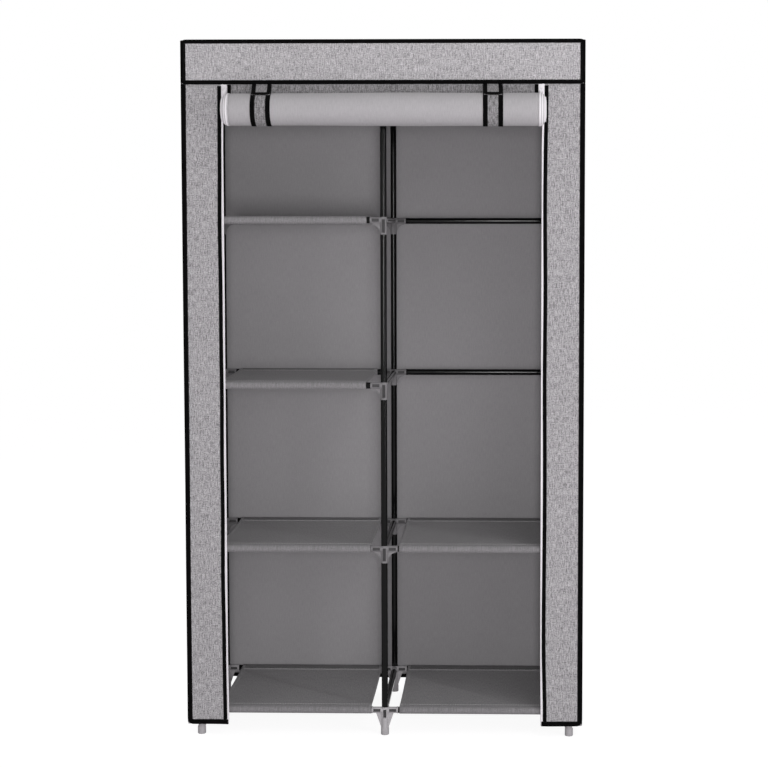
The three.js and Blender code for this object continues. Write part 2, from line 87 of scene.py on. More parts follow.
HALF = box("cover_front_right")[1][0]
FRONT = middle("cover_header")[1]
TRIM = 2 * MM  # how far a binding stands out from its cloth
SIDE = HALF - TRIM
BACK = box("cover_back")[1][1] - TRIM
TOP = box("cover_top")[1][2] - TRIM
CROWN = box("cover_header")[1][2]
HEM, BACK_HEM = box("cover_front_right")[0][2], box("cover_back")[0][2]
HEADER_FOOT, PANEL_HEAD = box("cover_header")[0][2], box("cover_front_right")[1][2]
ZIP = middle("zip_slider_right")[0]
TIERS = [middle(f"rail_left_rear_{n}")[2] for n in (1, 2, 3, 4, 5)]
POSTS = {"left": middle("crossbar_left_1")[0], "centre": 0.0, "right": middle("crossbar_right_1")[0]}
ROWS = {"front": middle("rail_left_front_1")[1], "rear": middle("rail_left_rear_1")[1]}
SIGNS = {"left": -1, "right": 1}
TUBE = 8 * MM  # radius
print("tiers:", [round(z, 4) for z in TIERS], "zip:", round(ZIP, 4), "front:", round(FRONT, 4))

# %% [markdown]
# ## Camera
# The photograph is taken from some four and a half metres, a little to the right of the wardrobe and at
# chest height, with its uprights kept straight: the lens looks level and its picture is shifted sideways
# and down. A pitch of four degrees takes over most of the downward shift, so that the other views stay in
# frame. The camera keeps its place, so everything still hides what it should, and the two turns and the
# lens were fitted.

# %% Camera
eye = bpy.data.objects.new("camera", bpy.data.cameras.new("camera"))
bpy.context.scene.collection.objects.link(eye)
eye.location = (0.29, -4.4356, 1.28)
eye.rotation_euler = (math.radians(90 - 4), 0, math.radians(1.315))
eye.data.sensor_width, eye.data.lens = 36, 80.351
eye.data.shift_x, eye.data.shift_y = -0.0995, -0.045
bpy.context.scene.camera = eye
print("lens:", eye.data.lens)

# %% [markdown]
# ## Finishes written as arithmetic
# Each finish is a small node tree. Drawing such a tree by hand is slow to read, so the maths is written
# as Python: `Wire` stands for one socket, and adding or multiplying wires adds the Math node that does
# it. `Finish.node` makes every other node. Hard parts read Object coordinates, which are the wardrobe's
# own metres.

# %% Wires and finishes
class Wire:
    """A socket of a finish, used in ordinary arithmetic."""

    def __init__(self, finish, socket):
        self.finish, self.socket = finish, socket

    def maths(self, operation, *others, clamp=False):
        settings = {"operation": operation, "use_clamp": clamp}
        return self.finish.node("ShaderNodeMath", settings, dict(enumerate((self, *others))))

    def __add__(self, other):
        return self.maths("ADD", other)

    def __sub__(self, other):
        return self.maths("SUBTRACT", other)

    def __mul__(self, other):
        return self.maths("MULTIPLY", other)

    def __rsub__(self, other):
        return self.finish.node("ShaderNodeMath", {"operation": "SUBTRACT"}, {0: other, 1: self})

    __radd__ = __add__
    __rmul__ = __mul__

    def sine(self):
        return self.maths("SINE")

    def clamped(self):
        return self.maths("ADD", 0.0, clamp=True)

    def above(self, edge, soft):
        """0 below the edge and 1 above it, over a soft step."""
        return ((self - edge) * (1 / soft) + 0.5).clamped()


class Finish:
    """A material whose nodes are all made by one method."""

    def __init__(self, name, world=None):
        self.owner = world or bpy.data.materials.new(name)
        self.owner.use_nodes = True
        self.tree = self.owner.node_tree
        self.tree.nodes.clear()

    def node(self, kind, settings=None, values=None, out=0):
        made = self.tree.nodes.new(kind)
        for key, value in (settings or {}).items():
            setattr(made, key, value)
        for key, value in (values or {}).items():
            if isinstance(value, Wire):
                self.tree.links.new(value.socket, made.inputs[key])
            else:
                made.inputs[key].default_value = value
        return Wire(self, made.outputs[out]) if made.outputs else None

    def cloth(self):
        return self.node("ShaderNodeUVMap", {"uv_map": "cloth"})

    def place(self):
        return self.node("ShaderNodeTexCoord", out="Object")

    def axes(self, vector):
        first = self.node("ShaderNodeSeparateXYZ", values={0: vector})
        return [Wire(self, socket) for socket in first.socket.node.outputs]

    def stretched(self, vector, scale, shift=(0, 0, 0)):
        return self.node("ShaderNodeMapping", values={"Vector": vector, "Scale": scale, "Location": shift})

    def noise(self, vector, scale=1.0, detail=2.0, rough=0.5):
        """Noise round 0, about from -0.5 to 0.5."""
        values = {"Vector": vector, "Scale": scale, "Detail": detail, "Roughness": rough}
        return self.node("ShaderNodeTexNoise", values=values) - 0.5

    def blend(self, share, low, high):
        low, high = (side if isinstance(side, Wire) else (*side, 1) for side in (low, high))
        values = {0: share, 6: low, 7: high}
        return self.node("ShaderNodeMix", {"data_type": "RGBA"}, values, out=2)

    def bump(self, height, depth, strength=1.0, over=None):
        values = {"Height": height, "Distance": depth, "Strength": strength}
        if over:
            values["Normal"] = over
        return self.node("ShaderNodeBump", values=values)

    def seen(self):
        """1 where the camera, a gloss or a glass looks at it, 0 where it lights the wardrobe."""
        rays = self.node("ShaderNodeLightPath").socket.node.outputs
        kinds = ("Camera", "Glossy", "Transmission")
        camera, gloss, glass = (Wire(self, rays[f"Is {kind} Ray"]) for kind in kinds)
        return camera.maths("MAXIMUM", gloss).maths("MAXIMUM", glass)

    def done(self, **sockets):
        """Sockets by name, with _ for a space. What varies is a wire, the rest is set on the shader."""
        values = {name.replace("_", " "): value for name, value in sockets.items()}
        shader = self.node("ShaderNodeBsdfPrincipled", values=values)
        self.node("ShaderNodeOutputMaterial", values={"Surface": shader})
        return self.owner


def grey(tone):
    """A near-neutral colour as the wardrobe has it, a touch low in green."""
    return (tone, tone * 0.965, tone)


print("one class for sockets, one for finishes")

# %% [markdown]
# ## A white room
# A studio for a catalogue picture is a white room with large soft lamps. The world is that room: an even
# light, and plain white where the camera or a gloss looks at it. Most of the light comes from a soft lamp
# just behind the camera, so that it reaches the back of every shelf and its shadows fall out of sight. A
# tall narrow one further to the right gives the tubes their line, one above gives the folds their form,
# and one behind does the same for the back panel. The floor is a real pale surface, so it keeps the soft
# shadow under the feet, and for the camera most of its colour is plain white light.

# %% Room and lamps
AMBIENT = 0.38
room = Finish("room", world=bpy.data.worlds.new("room"))
strength = room.seen() * (1 - AMBIENT) + AMBIENT
backdrop = room.node("ShaderNodeBackground", values={"Color": (1, 1, 1, 1), "Strength": strength})
room.node("ShaderNodeOutputWorld", values={"Surface": backdrop})
bpy.context.scene.world = room.owner
bpy.context.scene.view_settings.view_transform = "Standard"


def lamp(name, place, aim, wide, high, power):
    light = bpy.data.lights.new(name, "AREA")
    light.shape, light.size, light.size_y, light.energy = "ELLIPSE", wide, high, power
    holder = bpy.data.objects.new(name, light)
    holder.location = place
    holder.rotation_euler = (Vector(aim) - Vector(place)).to_track_quat("-Z", "Y").to_euler()
    bpy.context.scene.collection.objects.link(holder)


lamp("front_lamp", (0.32, -5.0, 1.1), (0, 0, 0.9), 0.4, 1.2, 80)
lamp("side_lamp", (3.4, -3.1, 1.2), (0, -0.1, 0.9), 0.16, 2.4, 36)
lamp("high_lamp", (1.4, -2.4, 3.6), (0, 0, 1.2), 1.6, 1.6, 18)
lamp("back_lamp", (-3.0, 3.4, 2.2), (0, 0.2, 0.8), 0.8, 0.8, 34)

# %% Floor
paper = Finish("studio_floor")
fibre = paper.noise(paper.place(), 40, 3) + 0.5
matt = paper.node("ShaderNodeBsdfDiffuse", values={"Color": paper.blend(fibre, grey(0.86), grey(0.92))})
glow = paper.node("ShaderNodeEmission", values={"Color": (1, 1, 1, 1), "Strength": 1.22})
both = paper.node("ShaderNodeMixShader", values={0: paper.seen() * 0.75, 1: matt, 2: glow})
paper.node("ShaderNodeOutputMaterial", values={"Surface": both})
floor_mesh = bpy.data.meshes.new("studio_floor")
floor_mesh.from_pydata([(-9, -9, 0), (9, -9, 0), (9, 9, 0), (-9, 9, 0)], [], [(0, 1, 2, 3)])
floor_mesh.materials.append(paper.owner)
floor = bpy.data.objects.new("studio_floor", floor_mesh)
bpy.context.scene.collection.objects.link(floor)
floor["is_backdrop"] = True
print("floor at 0")

# %% [markdown]
# ## Cloth finishes
# The cover is non-woven polypropylene printed to look like linen: short pale and dark flecks that run up
# and down more than across, in soft clouds, over a fine embossed grid. Three noises give the flecks, a
# slow one the clouds, and the grid is two sine waves that only reach the bump, because it is far finer
# than the eye sees from here. The big loose panels get the same cloth with deeper creases from lying
# folded. Patterns read the cloth's own UV map, which is in metres, so they follow each fold and keep
# their size.

# %% The cloths
def cloth_finish(name, dark, pale, fleck, cloud, run=1.0, shift=0.0, crease=9 * MM):
    finish = Finish(name)
    uv = finish.cloth()
    speck = finish.noise(finish.stretched(uv, (330, 330, 1), (shift, 0.3, 0)), detail=3, rough=0.62)
    upright = finish.noise(finish.stretched(uv, (430, 60, 1), (shift, 0, 0)))
    level = finish.noise(finish.stretched(uv, (55, 430, 1), (0, shift, 0)))
    slow = finish.noise(uv, 17)
    flecks = speck * (1.6 * fleck) + upright * (1.25 * fleck * run) + level * (0.55 * fleck)
    tone = flecks + slow * cloud + 0.5
    across, along, _ = finish.axes(uv)
    pitch = math.tau / (1.7 * MM)
    grid = (across * pitch).sine() * (along * pitch).sine()
    fine = finish.bump(grid * 0.12 + speck * 0.5 + upright * 0.35, 0.35 * MM, 0.55)
    creases = finish.noise(finish.stretched(uv, (6, 2.2, 1), (shift, shift, 0)), detail=3)
    colour = finish.blend(tone.clamped(), dark, pale)
    return finish.done(Base_Color=colour, Roughness=0.9 - speck * 0.12,
                       Normal=finish.bump(creases, crease, 0.35, fine), Sheen_Weight=0.12,
                       Sheen_Roughness=0.6, Specular_IOR_Level=0.2)


heather = cloth_finish("heather_cloth", grey(0.15), grey(0.58), 1.3, 0.15)
loose_heather = cloth_finish("loose_heather_cloth", grey(0.15), grey(0.58), 1.3, 0.2, shift=8.6,
                             crease=70 * MM)
pale_heather = cloth_finish("pale_heather_cloth", grey(0.20), grey(0.66), 1.3, 0.15, shift=4.2)
# A darker copy of the cover's cloth, as painted shade: under the header on the door's strip above the roll,
# and on the ties and tabs.
shaded_heather = cloth_finish("shaded_heather_cloth", grey(0.09), grey(0.38), 1.2, 0.5, run=1.5, shift=5.7)
# The unprinted inside face of the cover's cloth: plainer because it is unprinted, and darker than the same
# face on the roll as painted shade inside the wardrobe.
inner = cloth_finish("inner_cloth", grey(0.28), grey(0.38), 0.4, 0.2, run=1.6, shift=1.3)
rolled = cloth_finish("rolled_cloth", grey(0.36), grey(0.47), 0.4, 0.3, run=2.0, shift=2.1)
shelving = cloth_finish("shelf_cloth", grey(0.175), grey(0.37), 0.7, 0.2, run=1.3, shift=3.4)
# A very dark copy of the shelf cloth for the band at the back of each shelf: painted shade.
rear_shading = cloth_finish("rear_shading_cloth", grey(0.07), grey(0.16), 0.7, 0.2, run=1.3, shift=6.1)
# A darker copy of the shelf cloth for the front of each front sleeve: painted shade.
rail_cloth = cloth_finish("rail_cloth", grey(0.14), grey(0.31), 0.7, 0.2, run=1.3, shift=7.3)
cloths = (heather, loose_heather, pale_heather, shaded_heather, inner, rolled, shelving, rear_shading, rail_cloth)
print("cloths:", [m.name for m in cloths])

# %% [markdown]
# ## Trims and hard parts
# Every raw edge is folded into a black woven tape whose ribs run across it about a millimetre apart,
# greyed by lint. The zip's tape is white, with a grey line painted as shade in the groove where it meets
# the door's cloth and in the groove along each of its sewn lines, and its coil is white nylon. The tubes
# are powder-coated: almost black and glossy, with the slight orange peel that powder leaves. The
# connectors are grey polypropylene that swirls where it flowed into the mould, and the feet scuff and
# gather dust in their lowest centimetre, which a soft step on the height gives.

# %% Trims
def tape_finish(name, dark, pale, rib, rough, sheen, shaded_grooves=()):
    finish = Finish(name)
    uv = finish.cloth()
    across, along, _ = finish.axes(uv)
    ribs = (along * (math.tau / rib)).sine()
    twill = ((across + along * 0.8) * (math.tau / (rib * 0.7))).sine()
    lint = finish.noise(uv, 260, 3, 0.7)
    worn = finish.noise(uv, 28)
    tone = (ribs * 0.10 + twill * 0.06 + lint * 0.9 + worn * 0.7 + 0.45).clamped()
    bumps = finish.bump(ribs * 0.5 + twill * 0.3 + lint * 0.5, 0.25 * MM, 0.6)
    colour = finish.blend(tone, dark, pale)
    # A grey line is painted along each groove as the shade in it.
    for groove in shaded_grooves:
        far = (across.maths("ABSOLUTE") - groove).maths("ABSOLUTE")
        colour = finish.blend(1 - far.above(0.6 * MM, 0.6 * MM), colour, grey(0.36))
    return finish.done(Base_Color=colour, Roughness=rough - worn * 0.15, Normal=bumps,
                       Sheen_Weight=sheen, Sheen_Roughness=0.5, Specular_IOR_Level=0.02)


def nylon_finish(name, dark, pale, rough):
    finish = Finish(name)
    mist = finish.noise(finish.place(), 900)
    slow = finish.noise(finish.place(), 40)
    tone = (mist * 0.8 + slow * 0.8 + 0.5).clamped()
    return finish.done(Base_Color=finish.blend(tone, dark, pale), Roughness=rough + mist * 0.2,
                       Normal=finish.bump(mist, 0.1 * MM, 0.4), Specular_IOR_Level=0.45)


# Where the zip tape's groove lines are; each is painted grey as its shade.
SHADED_GROOVES = (378.2 * MM, 384 * MM, 389.5 * MM)  # from the middle of the door
black_tape = tape_finish("black_binding", grey(0.001), grey(0.006), 1.1 * MM, 0.85, 0.0)
white_tape = tape_finish("white_zip_tape", grey(0.86), grey(0.95), 1.4 * MM, 0.75, 0.05,
                         shaded_grooves=SHADED_GROOVES)
white_coil = nylon_finish("white_nylon_coil", grey(0.88), grey(0.97), 0.38)
black_thread = nylon_finish("black_thread", grey(0.006), grey(0.02), 0.55)
grey_thread = nylon_finish("grey_thread", grey(0.50), grey(0.70), 0.6)
print("trims:", [m.name for m in (black_tape, white_tape, white_coil, black_thread, grey_thread)])

# %% Steel, plastic and enamel
def powder_finish():
    finish = Finish("black_powder_coat")
    peel = finish.noise(finish.place(), 700)
    handled = finish.noise(finish.place(), 22, 3)
    tone = (peel * 0.6 + handled * 0.8 + 0.5).clamped()
    colour = finish.blend(tone, grey(0.001), grey(0.003))
    return finish.done(Base_Color=colour, Roughness=handled * 0.1 + 0.12,
                       Normal=finish.bump(peel, 0.1 * MM, 0.12), Specular_IOR_Level=0.13)


def plastic_finish(name, dark, pale, dust):
    finish = Finish(name)
    place = finish.place()
    height = finish.axes(place)[2]
    flow = finish.noise(finish.stretched(place, (60, 60, 24)), detail=3, rough=0.6)
    grain = finish.noise(place, 1400)
    scuff = (1 - height.above(12 * MM, 14 * MM)) * (finish.noise(place, 300, 3) + 0.6)
    tone = (flow * 1.1 + grain * 0.35 + 0.5 - scuff * dust).clamped()
    return finish.done(Base_Color=finish.blend(tone, dark, pale), Roughness=flow * 0.2 + scuff * 0.25 + 0.55,
                       Normal=finish.bump(grain + flow * 0.6, 0.12 * MM, 0.4), Specular_IOR_Level=0.15)


def enamel_finish():
    finish = Finish("white_enamel")
    mist = finish.noise(finish.place(), 600)
    chips = finish.noise(finish.place(), 1500, 3, 0.7).above(0.24, 0.05)
    colour = finish.blend((1 - chips * 0.5) * (mist * 0.6 + 0.8), grey(0.35), grey(0.88))
    return finish.done(Base_Color=colour, Roughness=chips * 0.3 + 0.28,
                       Normal=finish.bump(mist - chips, 0.1 * MM, 0.4), Specular_IOR_Level=0.5)


powder = powder_finish()
grey_plastic = plastic_finish("grey_plastic", grey(0.15), grey(0.27), 0.2)
# A lighter copy of the grey plastic for the bottom connectors: painted light from the white floor, besides
# the real dust at their foot.
lit_foot_plastic = plastic_finish("lit_foot_plastic", grey(0.37), grey(0.52), 0.4)
# Dark plastic for the pockets' floors: painted shade in the pockets.
pocket_shade_plastic = plastic_finish("pocket_shade_plastic", grey(0.05), grey(0.10), 0.2)
enamel = enamel_finish()
print("hard finishes:", [m.name for m in (powder, grey_plastic, lit_foot_plastic, pocket_shade_plastic, enamel)])

# %% [markdown]
# ## Mesh helpers
# All the cloth is made the same way. A panel is described by one function that turns a place on the flat
# cloth (u across, v along, in metres) and a lift off its face into a point of the wardrobe. The cloth,
# its bindings and its stitches all go through that function, so whatever fold or wave the panel has, they
# share it. The grid could come from a subdivided plane with modifiers, but then the bindings would have
# to be fitted to it afterwards.

# %% Pieces and grids
made = {}


def finished(name, mesh, finish, slot, stands_for, body="wardrobe", lining=None):
    """Turns a mesh into a piece of the wardrobe. lining is the finish of a cloth's under side."""
    for place, coat in enumerate(filter(None, (finish, lining))):
        if place < len(mesh.materials):
            mesh.materials[place] = coat
        else:
            mesh.materials.append(coat)
    piece = bpy.data.objects.new(name, mesh)
    bpy.context.scene.collection.objects.link(piece)
    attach(piece, body)
    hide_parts(*stands_for)
    made[name] = piece
    return piece


def mesh_of(name, corners, faces, uv=None, kinds=None):
    """A smooth mesh with its faces turned outwards. uv is a (u, v) for each corner."""
    mesh = bpy.data.meshes.new(name)
    mesh.from_pydata(np.asarray(corners, float).reshape(-1, 3).tolist(), [], faces)
    if uv is not None:
        layer = mesh.uv_layers.new(name="cloth")
        at = np.zeros(len(mesh.loops), np.int32)
        mesh.loops.foreach_get("vertex_index", at)
        layer.data.foreach_set("uv", np.asarray(uv, np.float32).reshape(-1, 2)[at].ravel())
    if kinds is not None:
        mesh.polygons.foreach_set("material_index", kinds)
    work = bmesh.new()
    work.from_mesh(mesh)
    bmesh.ops.recalc_face_normals(work, faces=work.faces)
    work.to_mesh(mesh)
    work.free()
    mesh.polygons.foreach_set("use_smooth", [True] * len(mesh.polygons))
    return mesh


def grid_faces(rows, columns, loop=False):
    """Quads over a grid of corners. With loop, the last column meets the first."""
    span = columns if loop else columns - 1
    return [(r * columns + c, r * columns + (c + 1) % columns,
             (r + 1) * columns + (c + 1) % columns, (r + 1) * columns + c)
            for r in range(rows - 1) for c in range(span)]


def stations(start, end, step):
    return np.linspace(start, end, max(2, round(abs(end - start) / step)) + 1)


def sheet_mesh(name, place, across, along, thick, lined=False):
    """A closed thin sheet over rows and columns of stations."""
    u, v = np.meshgrid(across, along)
    rows, columns = u.shape
    under = rows * columns
    top = grid_faces(rows, columns)
    rim = [*range(columns), *range(2 * columns - 1, under, columns),
           *range(under - 2, under - columns - 1, -1), *range(under - 2 * columns, 0, -columns)]
    edge = [(a, a + under, b + under, b) for a, b in zip(rim, rim[1:] + rim[:1])]
    faces = top + [tuple(under + i for i in reversed(face)) for face in top] + edge
    corners = np.concatenate([place(u, v, thick / 2).reshape(-1, 3), place(u, v, -thick / 2).reshape(-1, 3)])
    flat = np.stack([u, v], -1).reshape(-1, 2)
    kinds = [0] * len(top) + [int(lined)] * len(top) + [0] * len(edge)
    return mesh_of(name, corners, faces, np.concatenate([flat, flat]), kinds)


def ripple(u, v, length, seed):
    """Soft waves about from -1 to 1: six sines with fixed random headings."""
    pick = np.random.default_rng(seed)
    total = 0
    for _ in range(6):
        heading, phase, size = pick.uniform(0, math.tau), pick.uniform(0, math.tau), pick.uniform(0.7, 1.6)
        run = u * math.cos(heading) + v * math.sin(heading)
        total = total + np.sin(run * math.tau / (length * size) + phase)
    return total / 3


def rising(value, span):
    """0 where the value is 0 or less, and 1 from the span on."""
    return np.clip(value / span, 0, 1)


def point(x, y, z):
    return np.stack(np.broadcast_arrays(x, y, z), -1)


print("helpers ready")

# %% [markdown]
# ## Bindings
# A binding is a tape folded over the cloth's edge and sewn down: a flat, slightly crowned band that
# follows the edge and turns its corners with a small radius. It is swept along a path drawn on the flat
# panel. A curve with a bevel profile would twist at the corners, whereas here each section is laid out in
# the panel's own u and v.

# %% Paths and bands
def path_of(u, v):
    """A path of (u, v) points. Either may be one number for the whole path."""
    return np.stack(np.broadcast_arrays(u, v), -1).astype(float)


def eased(points, step=5 * MM, radius=6 * MM):
    """A path through the points with even steps and rounded corners."""
    points = np.array(points, float)
    run = np.r_[0, np.cumsum(np.linalg.norm(np.diff(points, axis=0), axis=1))]
    at = np.linspace(0, run[-1], max(4, round(run[-1] / step)) + 1)
    path = np.stack([np.interp(at, run, points[:, n]) for n in (0, 1)], 1)
    for _ in range(2 * max(1, round(radius / step))):
        path[1:-1] = (path[2:] + 2 * path[1:-1] + path[:-2]) / 4
    return path


def headings(path):
    way = np.gradient(path, axis=0)
    return way / np.linalg.norm(way, axis=1, keepdims=True)


def beside(path, shift):
    """The path moved sideways by shift, to its left."""
    way = headings(path)
    return path + np.stack([-way[:, 1], way[:, 0]], 1) * shift


def band_mesh(name, place, path, width, thick, lift=0.0, sides=14):
    """A crowned tape along a path of (u, v)."""
    turn = np.arange(sides) * math.tau / sides
    across = np.sign(np.cos(turn)) * np.abs(np.cos(turn)) ** 0.35 * width / 2
    up = np.sign(np.sin(turn)) * np.abs(np.sin(turn)) ** 0.6 * thick / 2
    way = headings(path)
    u = path[:, :1] - way[:, 1:] * across
    v = path[:, 1:] + way[:, :1] * across
    count = len(path)
    faces = grid_faces(count, sides, loop=True)
    faces += [tuple(range(sides)), tuple(range((count - 1) * sides, count * sides))]
    run = np.r_[0, np.cumsum(np.linalg.norm(np.diff(path, axis=0), axis=1))]
    flat = np.stack([np.broadcast_to(across, u.shape), np.broadcast_to(run[:, None], u.shape)], -1)
    return mesh_of(name, place(u, v, lift + up[None] * np.ones_like(u)), faces, flat)


def band(name, place, path, width, thick, finish, slot, stands_for, body="wardrobe", lift=0.0):
    """A tape without stitches, as a piece of its own."""
    mesh = band_mesh(name, place, path, width, thick, lift)
    return finished(name, mesh, finish, slot, stands_for, body)


print("a band has 14 sides")

# %% [markdown]
# ## What repeats: Geometry Nodes
# Stitches and zip teeth repeat by the thousand along a seam. One tree does both: it turns a line of
# points into a curve, sets points along it at the wanted pitch, puts a small shape on each and turns it
# to follow the seam. A tube is a tree as well: a line swept by a circle. Each result is baked into a
# plain mesh.

# %% Trees
class Tree:
    """A geometry tree with named inputs, made in code."""

    def __init__(self, name, **inputs):
        self.tree = bpy.data.node_groups.new(name, "GeometryNodeTree")
        self.key = {}
        for label, kind in {"Seam": "Geometry", **inputs}.items():
            socket = self.tree.interface.new_socket(label, in_out="INPUT", socket_type=f"NodeSocket{kind}")
            self.key[label] = socket.identifier
        self.tree.interface.new_socket("Result", in_out="OUTPUT", socket_type="NodeSocketGeometry")
        self.inputs = self.tree.nodes.new("NodeGroupInput").outputs

    def add(self, kind, settings=None, values=None, out=0):
        node = self.tree.nodes.new(kind)
        for key, value in (settings or {}).items():
            setattr(node, key, value)
        for key, value in (values or {}).items():
            if isinstance(value, bpy.types.NodeSocket):
                self.tree.links.new(value, node.inputs[key])
            else:
                node.inputs[key].default_value = value
        return node.outputs[out]

    def end(self, result):
        whole = self.add("GeometryNodeRealizeInstances", values={0: result})
        smooth = self.add("GeometryNodeSetShadeSmooth", values={0: whole})
        finish = self.inputs["Finish"]
        coated = self.add("GeometryNodeSetMaterial", values={"Geometry": smooth, "Material": finish})
        self.tree.links.new(coated, self.tree.nodes.new("NodeGroupOutput").inputs[0])
        return self

    def bake(self, points, **values):
        """Runs the tree on a line through the points and returns the result as a plain mesh."""
        line = bpy.data.meshes.new("line")
        edges = [(n, n + 1) for n in range(len(points) - 1)]
        line.from_pydata(np.asarray(points, float).tolist(), edges, [])
        carrier = bpy.data.objects.new("line", line)
        bpy.context.scene.collection.objects.link(carrier)
        modifier = carrier.modifiers.new("tree", "NODES")
        modifier.node_group = self.tree
        for label, value in values.items():
            modifier[self.key[label]] = value
        graph = bpy.context.evaluated_depsgraph_get()
        mesh = bpy.data.meshes.new_from_object(carrier.evaluated_get(graph))
        bpy.data.objects.remove(carrier)
        bpy.data.meshes.remove(line)
        return mesh


print("trees end in Realize Instances and Set Material")

# %% A tree that follows a seam and a tree for a tube
def seam_tree(name, rounded):
    """A shape of Length by Width by Height every Pitch along the seam, its width turned towards Across."""
    tree = Tree(name, Pitch="Float", Length="Float", Width="Float", Height="Float", Across="Vector",
                Finish="Material")
    key = tree.inputs
    line = tree.add("GeometryNodeMeshToCurve", values={0: key["Seam"]})
    dots = tree.add("GeometryNodeResampleCurve", {"mode": "LENGTH"}, {"Curve": line, "Length": key["Pitch"]})
    if rounded:
        bit = tree.add("GeometryNodeMeshUVSphere", values={"Segments": 6, "Rings": 4, "Radius": 0.5})
    else:
        bit = tree.add("GeometryNodeMeshCylinder", values={"Vertices": 8, "Radius": 0.5, "Depth": 1.0})
    size = tree.add("ShaderNodeCombineXYZ", values={0: key["Width"], 1: key["Height"], 2: key["Length"]})
    bit = tree.add("GeometryNodeTransform", values={"Geometry": bit, "Scale": size})
    tangent = tree.add("GeometryNodeInputTangent")
    turned = tree.add("FunctionNodeAlignRotationToVector", {"axis": "Z"}, {"Vector": tangent})
    turned = tree.add("FunctionNodeAlignRotationToVector", {"axis": "X", "pivot_axis": "Z"},
                      {"Rotation": turned, "Vector": key["Across"]})
    values = {"Points": dots, "Instance": bit, "Rotation": turned}
    return tree.end(tree.add("GeometryNodeInstanceOnPoints", values=values))


def tube_tree():
    tree = Tree("steel_tube", Radius="Float", Sides="Int", Finish="Material")
    line = tree.add("GeometryNodeMeshToCurve", values={0: tree.inputs["Seam"]})
    size = {"Resolution": tree.inputs["Sides"], "Radius": tree.inputs["Radius"]}
    ring = tree.add("GeometryNodeCurvePrimitiveCircle", values=size)
    values = {"Curve": line, "Profile Curve": ring, "Fill Caps": True}
    return tree.end(tree.add("GeometryNodeCurveToMesh", values=values))


stitching, zipping, tubing = seam_tree("stitches", True), seam_tree("zip_teeth", False), tube_tree()


def stitches(name, place, path, finish, slot, stands_for, lift, body="wardrobe", pitch=3.6 * MM,
             width=0.6 * MM):
    line = place(path[:, 0], path[:, 1], lift * np.ones(len(path)))
    mesh = stitching.bake(line, Pitch=pitch, Length=0.72 * pitch, Width=width, Height=0.6 * MM,
                          Across=(1.0, 0.0, 0.0), Finish=finish)
    return finished(name, mesh, finish, slot, stands_for, body)


def zip_coil(name, line, width, height, stands_for):
    """White nylon teeth along a line of points."""
    mesh = zipping.bake(line, Pitch=1.8 * MM, Length=1.15 * MM, Width=width, Height=height,
                        Across=(1.0, 0.0, 0.0), Finish=white_coil)
    return finished(name, mesh, white_coil, "cover_cloth", stands_for)


print("trees:", [t.name for t in bpy.data.node_groups])

# %% [markdown]
# ## Tubes
# The frame's steel is cut to three lengths: uprights, rails and crossbars. Each tube is its own piece, so
# each is its own object here too, swept from end to end by the tube tree with 32 sides. The solids carry
# ten sides, which is enough to check fits but shows as flats in the light. The uprights run between
# connectors, so their ends are worked out from the tiers: a connector reaches 8 mm above the rail's axis
# and 36 mm below it.

# %% Rails, crossbars and the hanging rail
PUSH = 3 * MM  # of a tube's end, into its connector


def tube(name, start, end, node):
    mesh = tubing.bake([start, end], Radius=TUBE, Sides=32, Finish=powder)
    return finished(name, mesh, powder, "steel_tube", (node,))


for node in [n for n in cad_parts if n.startswith(("rail_", "crossbar_", "hanging_rail"))]:
    low, high = box(node)
    start, end = middle(node), middle(node)
    if node.startswith("crossbar"):
        start[0] = end[0] = POSTS[node.split("_")[1]]
        start[2] = end[2] = TIERS[int(node[-1]) - 1]
        start[1], end[1] = low[1] - PUSH, high[1] + PUSH
    else:
        start[0], end[0] = low[0] - PUSH, high[0] + PUSH
    tube(f"{node}_tube", start, end, node)
print("tubes so far:", len(made))

# %% Upright tubes
RISE, DROP = 8 * MM, 36 * MM
for row, y in ROWS.items():
    for column, x in POSTS.items():
        for tier in range(4):
            low, high = TIERS[tier] + RISE - PUSH, TIERS[tier + 1] - DROP + PUSH
            node = f"upright_{row}_{column}"
            tube(f"{node}_tube_{tier + 1}", (x, y, low), (x, y, high), node)
print("tubes:", len(made))

# %% [markdown]
# ## Connectors
# A connector is one moulding: a socket for the upright, an arm for each rail with a pocket in its sides
# to save plastic, and a thin web with a hollowed edge under each arm. The pockets' floors are coloured
# dark, as painted shade in the pockets. The bottom one ends in a foot and the top one in a dome under the
# cover. They are turned and cut bodies, so each is a lathed hub joined with lathed arms by a Boolean,
# then the pockets are cut. A subdivision surface would soften edges that the mould leaves crisp.

# %% Turned, extruded and joined bodies
def turned(profile, sides=36):
    """A body turned from (radius, height) points in millimetres, closed at both ends, round Z."""
    turn = np.arange(sides) * math.tau / sides
    radius, height = np.array(profile).T * MM
    corners = point(radius[:, None] * np.cos(turn), radius[:, None] * np.sin(turn), height[:, None])
    count = len(profile)
    faces = grid_faces(count, sides, loop=True)
    faces += [tuple(range(sides)), tuple(range((count - 1) * sides, count * sides))]
    return mesh_of("turned", corners, faces)


def slab(outline, thick, middle_y=0.0):
    """An outline of (x, z) points in millimetres made into a plate across Y."""
    count = len(outline)
    corners = np.array([(x, middle_y + side * thick / 2, z) for side in (-1, 1) for x, z in outline]) * MM
    faces = [tuple(range(count)), tuple(range(count, 2 * count))]
    faces += [(n, (n + 1) % count, (n + 1) % count + count, n + count) for n in range(count)]
    return mesh_of("slab", corners, faces)


def block(x, y, z):
    return slab([(x[0], z[0]), (x[1], z[0]), (x[1], z[1]), (x[0], z[1])], y[1] - y[0], (y[0] + y[1]) / 2)


def moved(mesh, turn=0.0, place=(0, 0, 0), tip=0.0):
    copy = mesh.copy()
    copy.transform(Matrix.Translation(place) @ Matrix.Rotation(turn, 4, "Z") @ Matrix.Rotation(tip, 4, "Y"))
    return copy


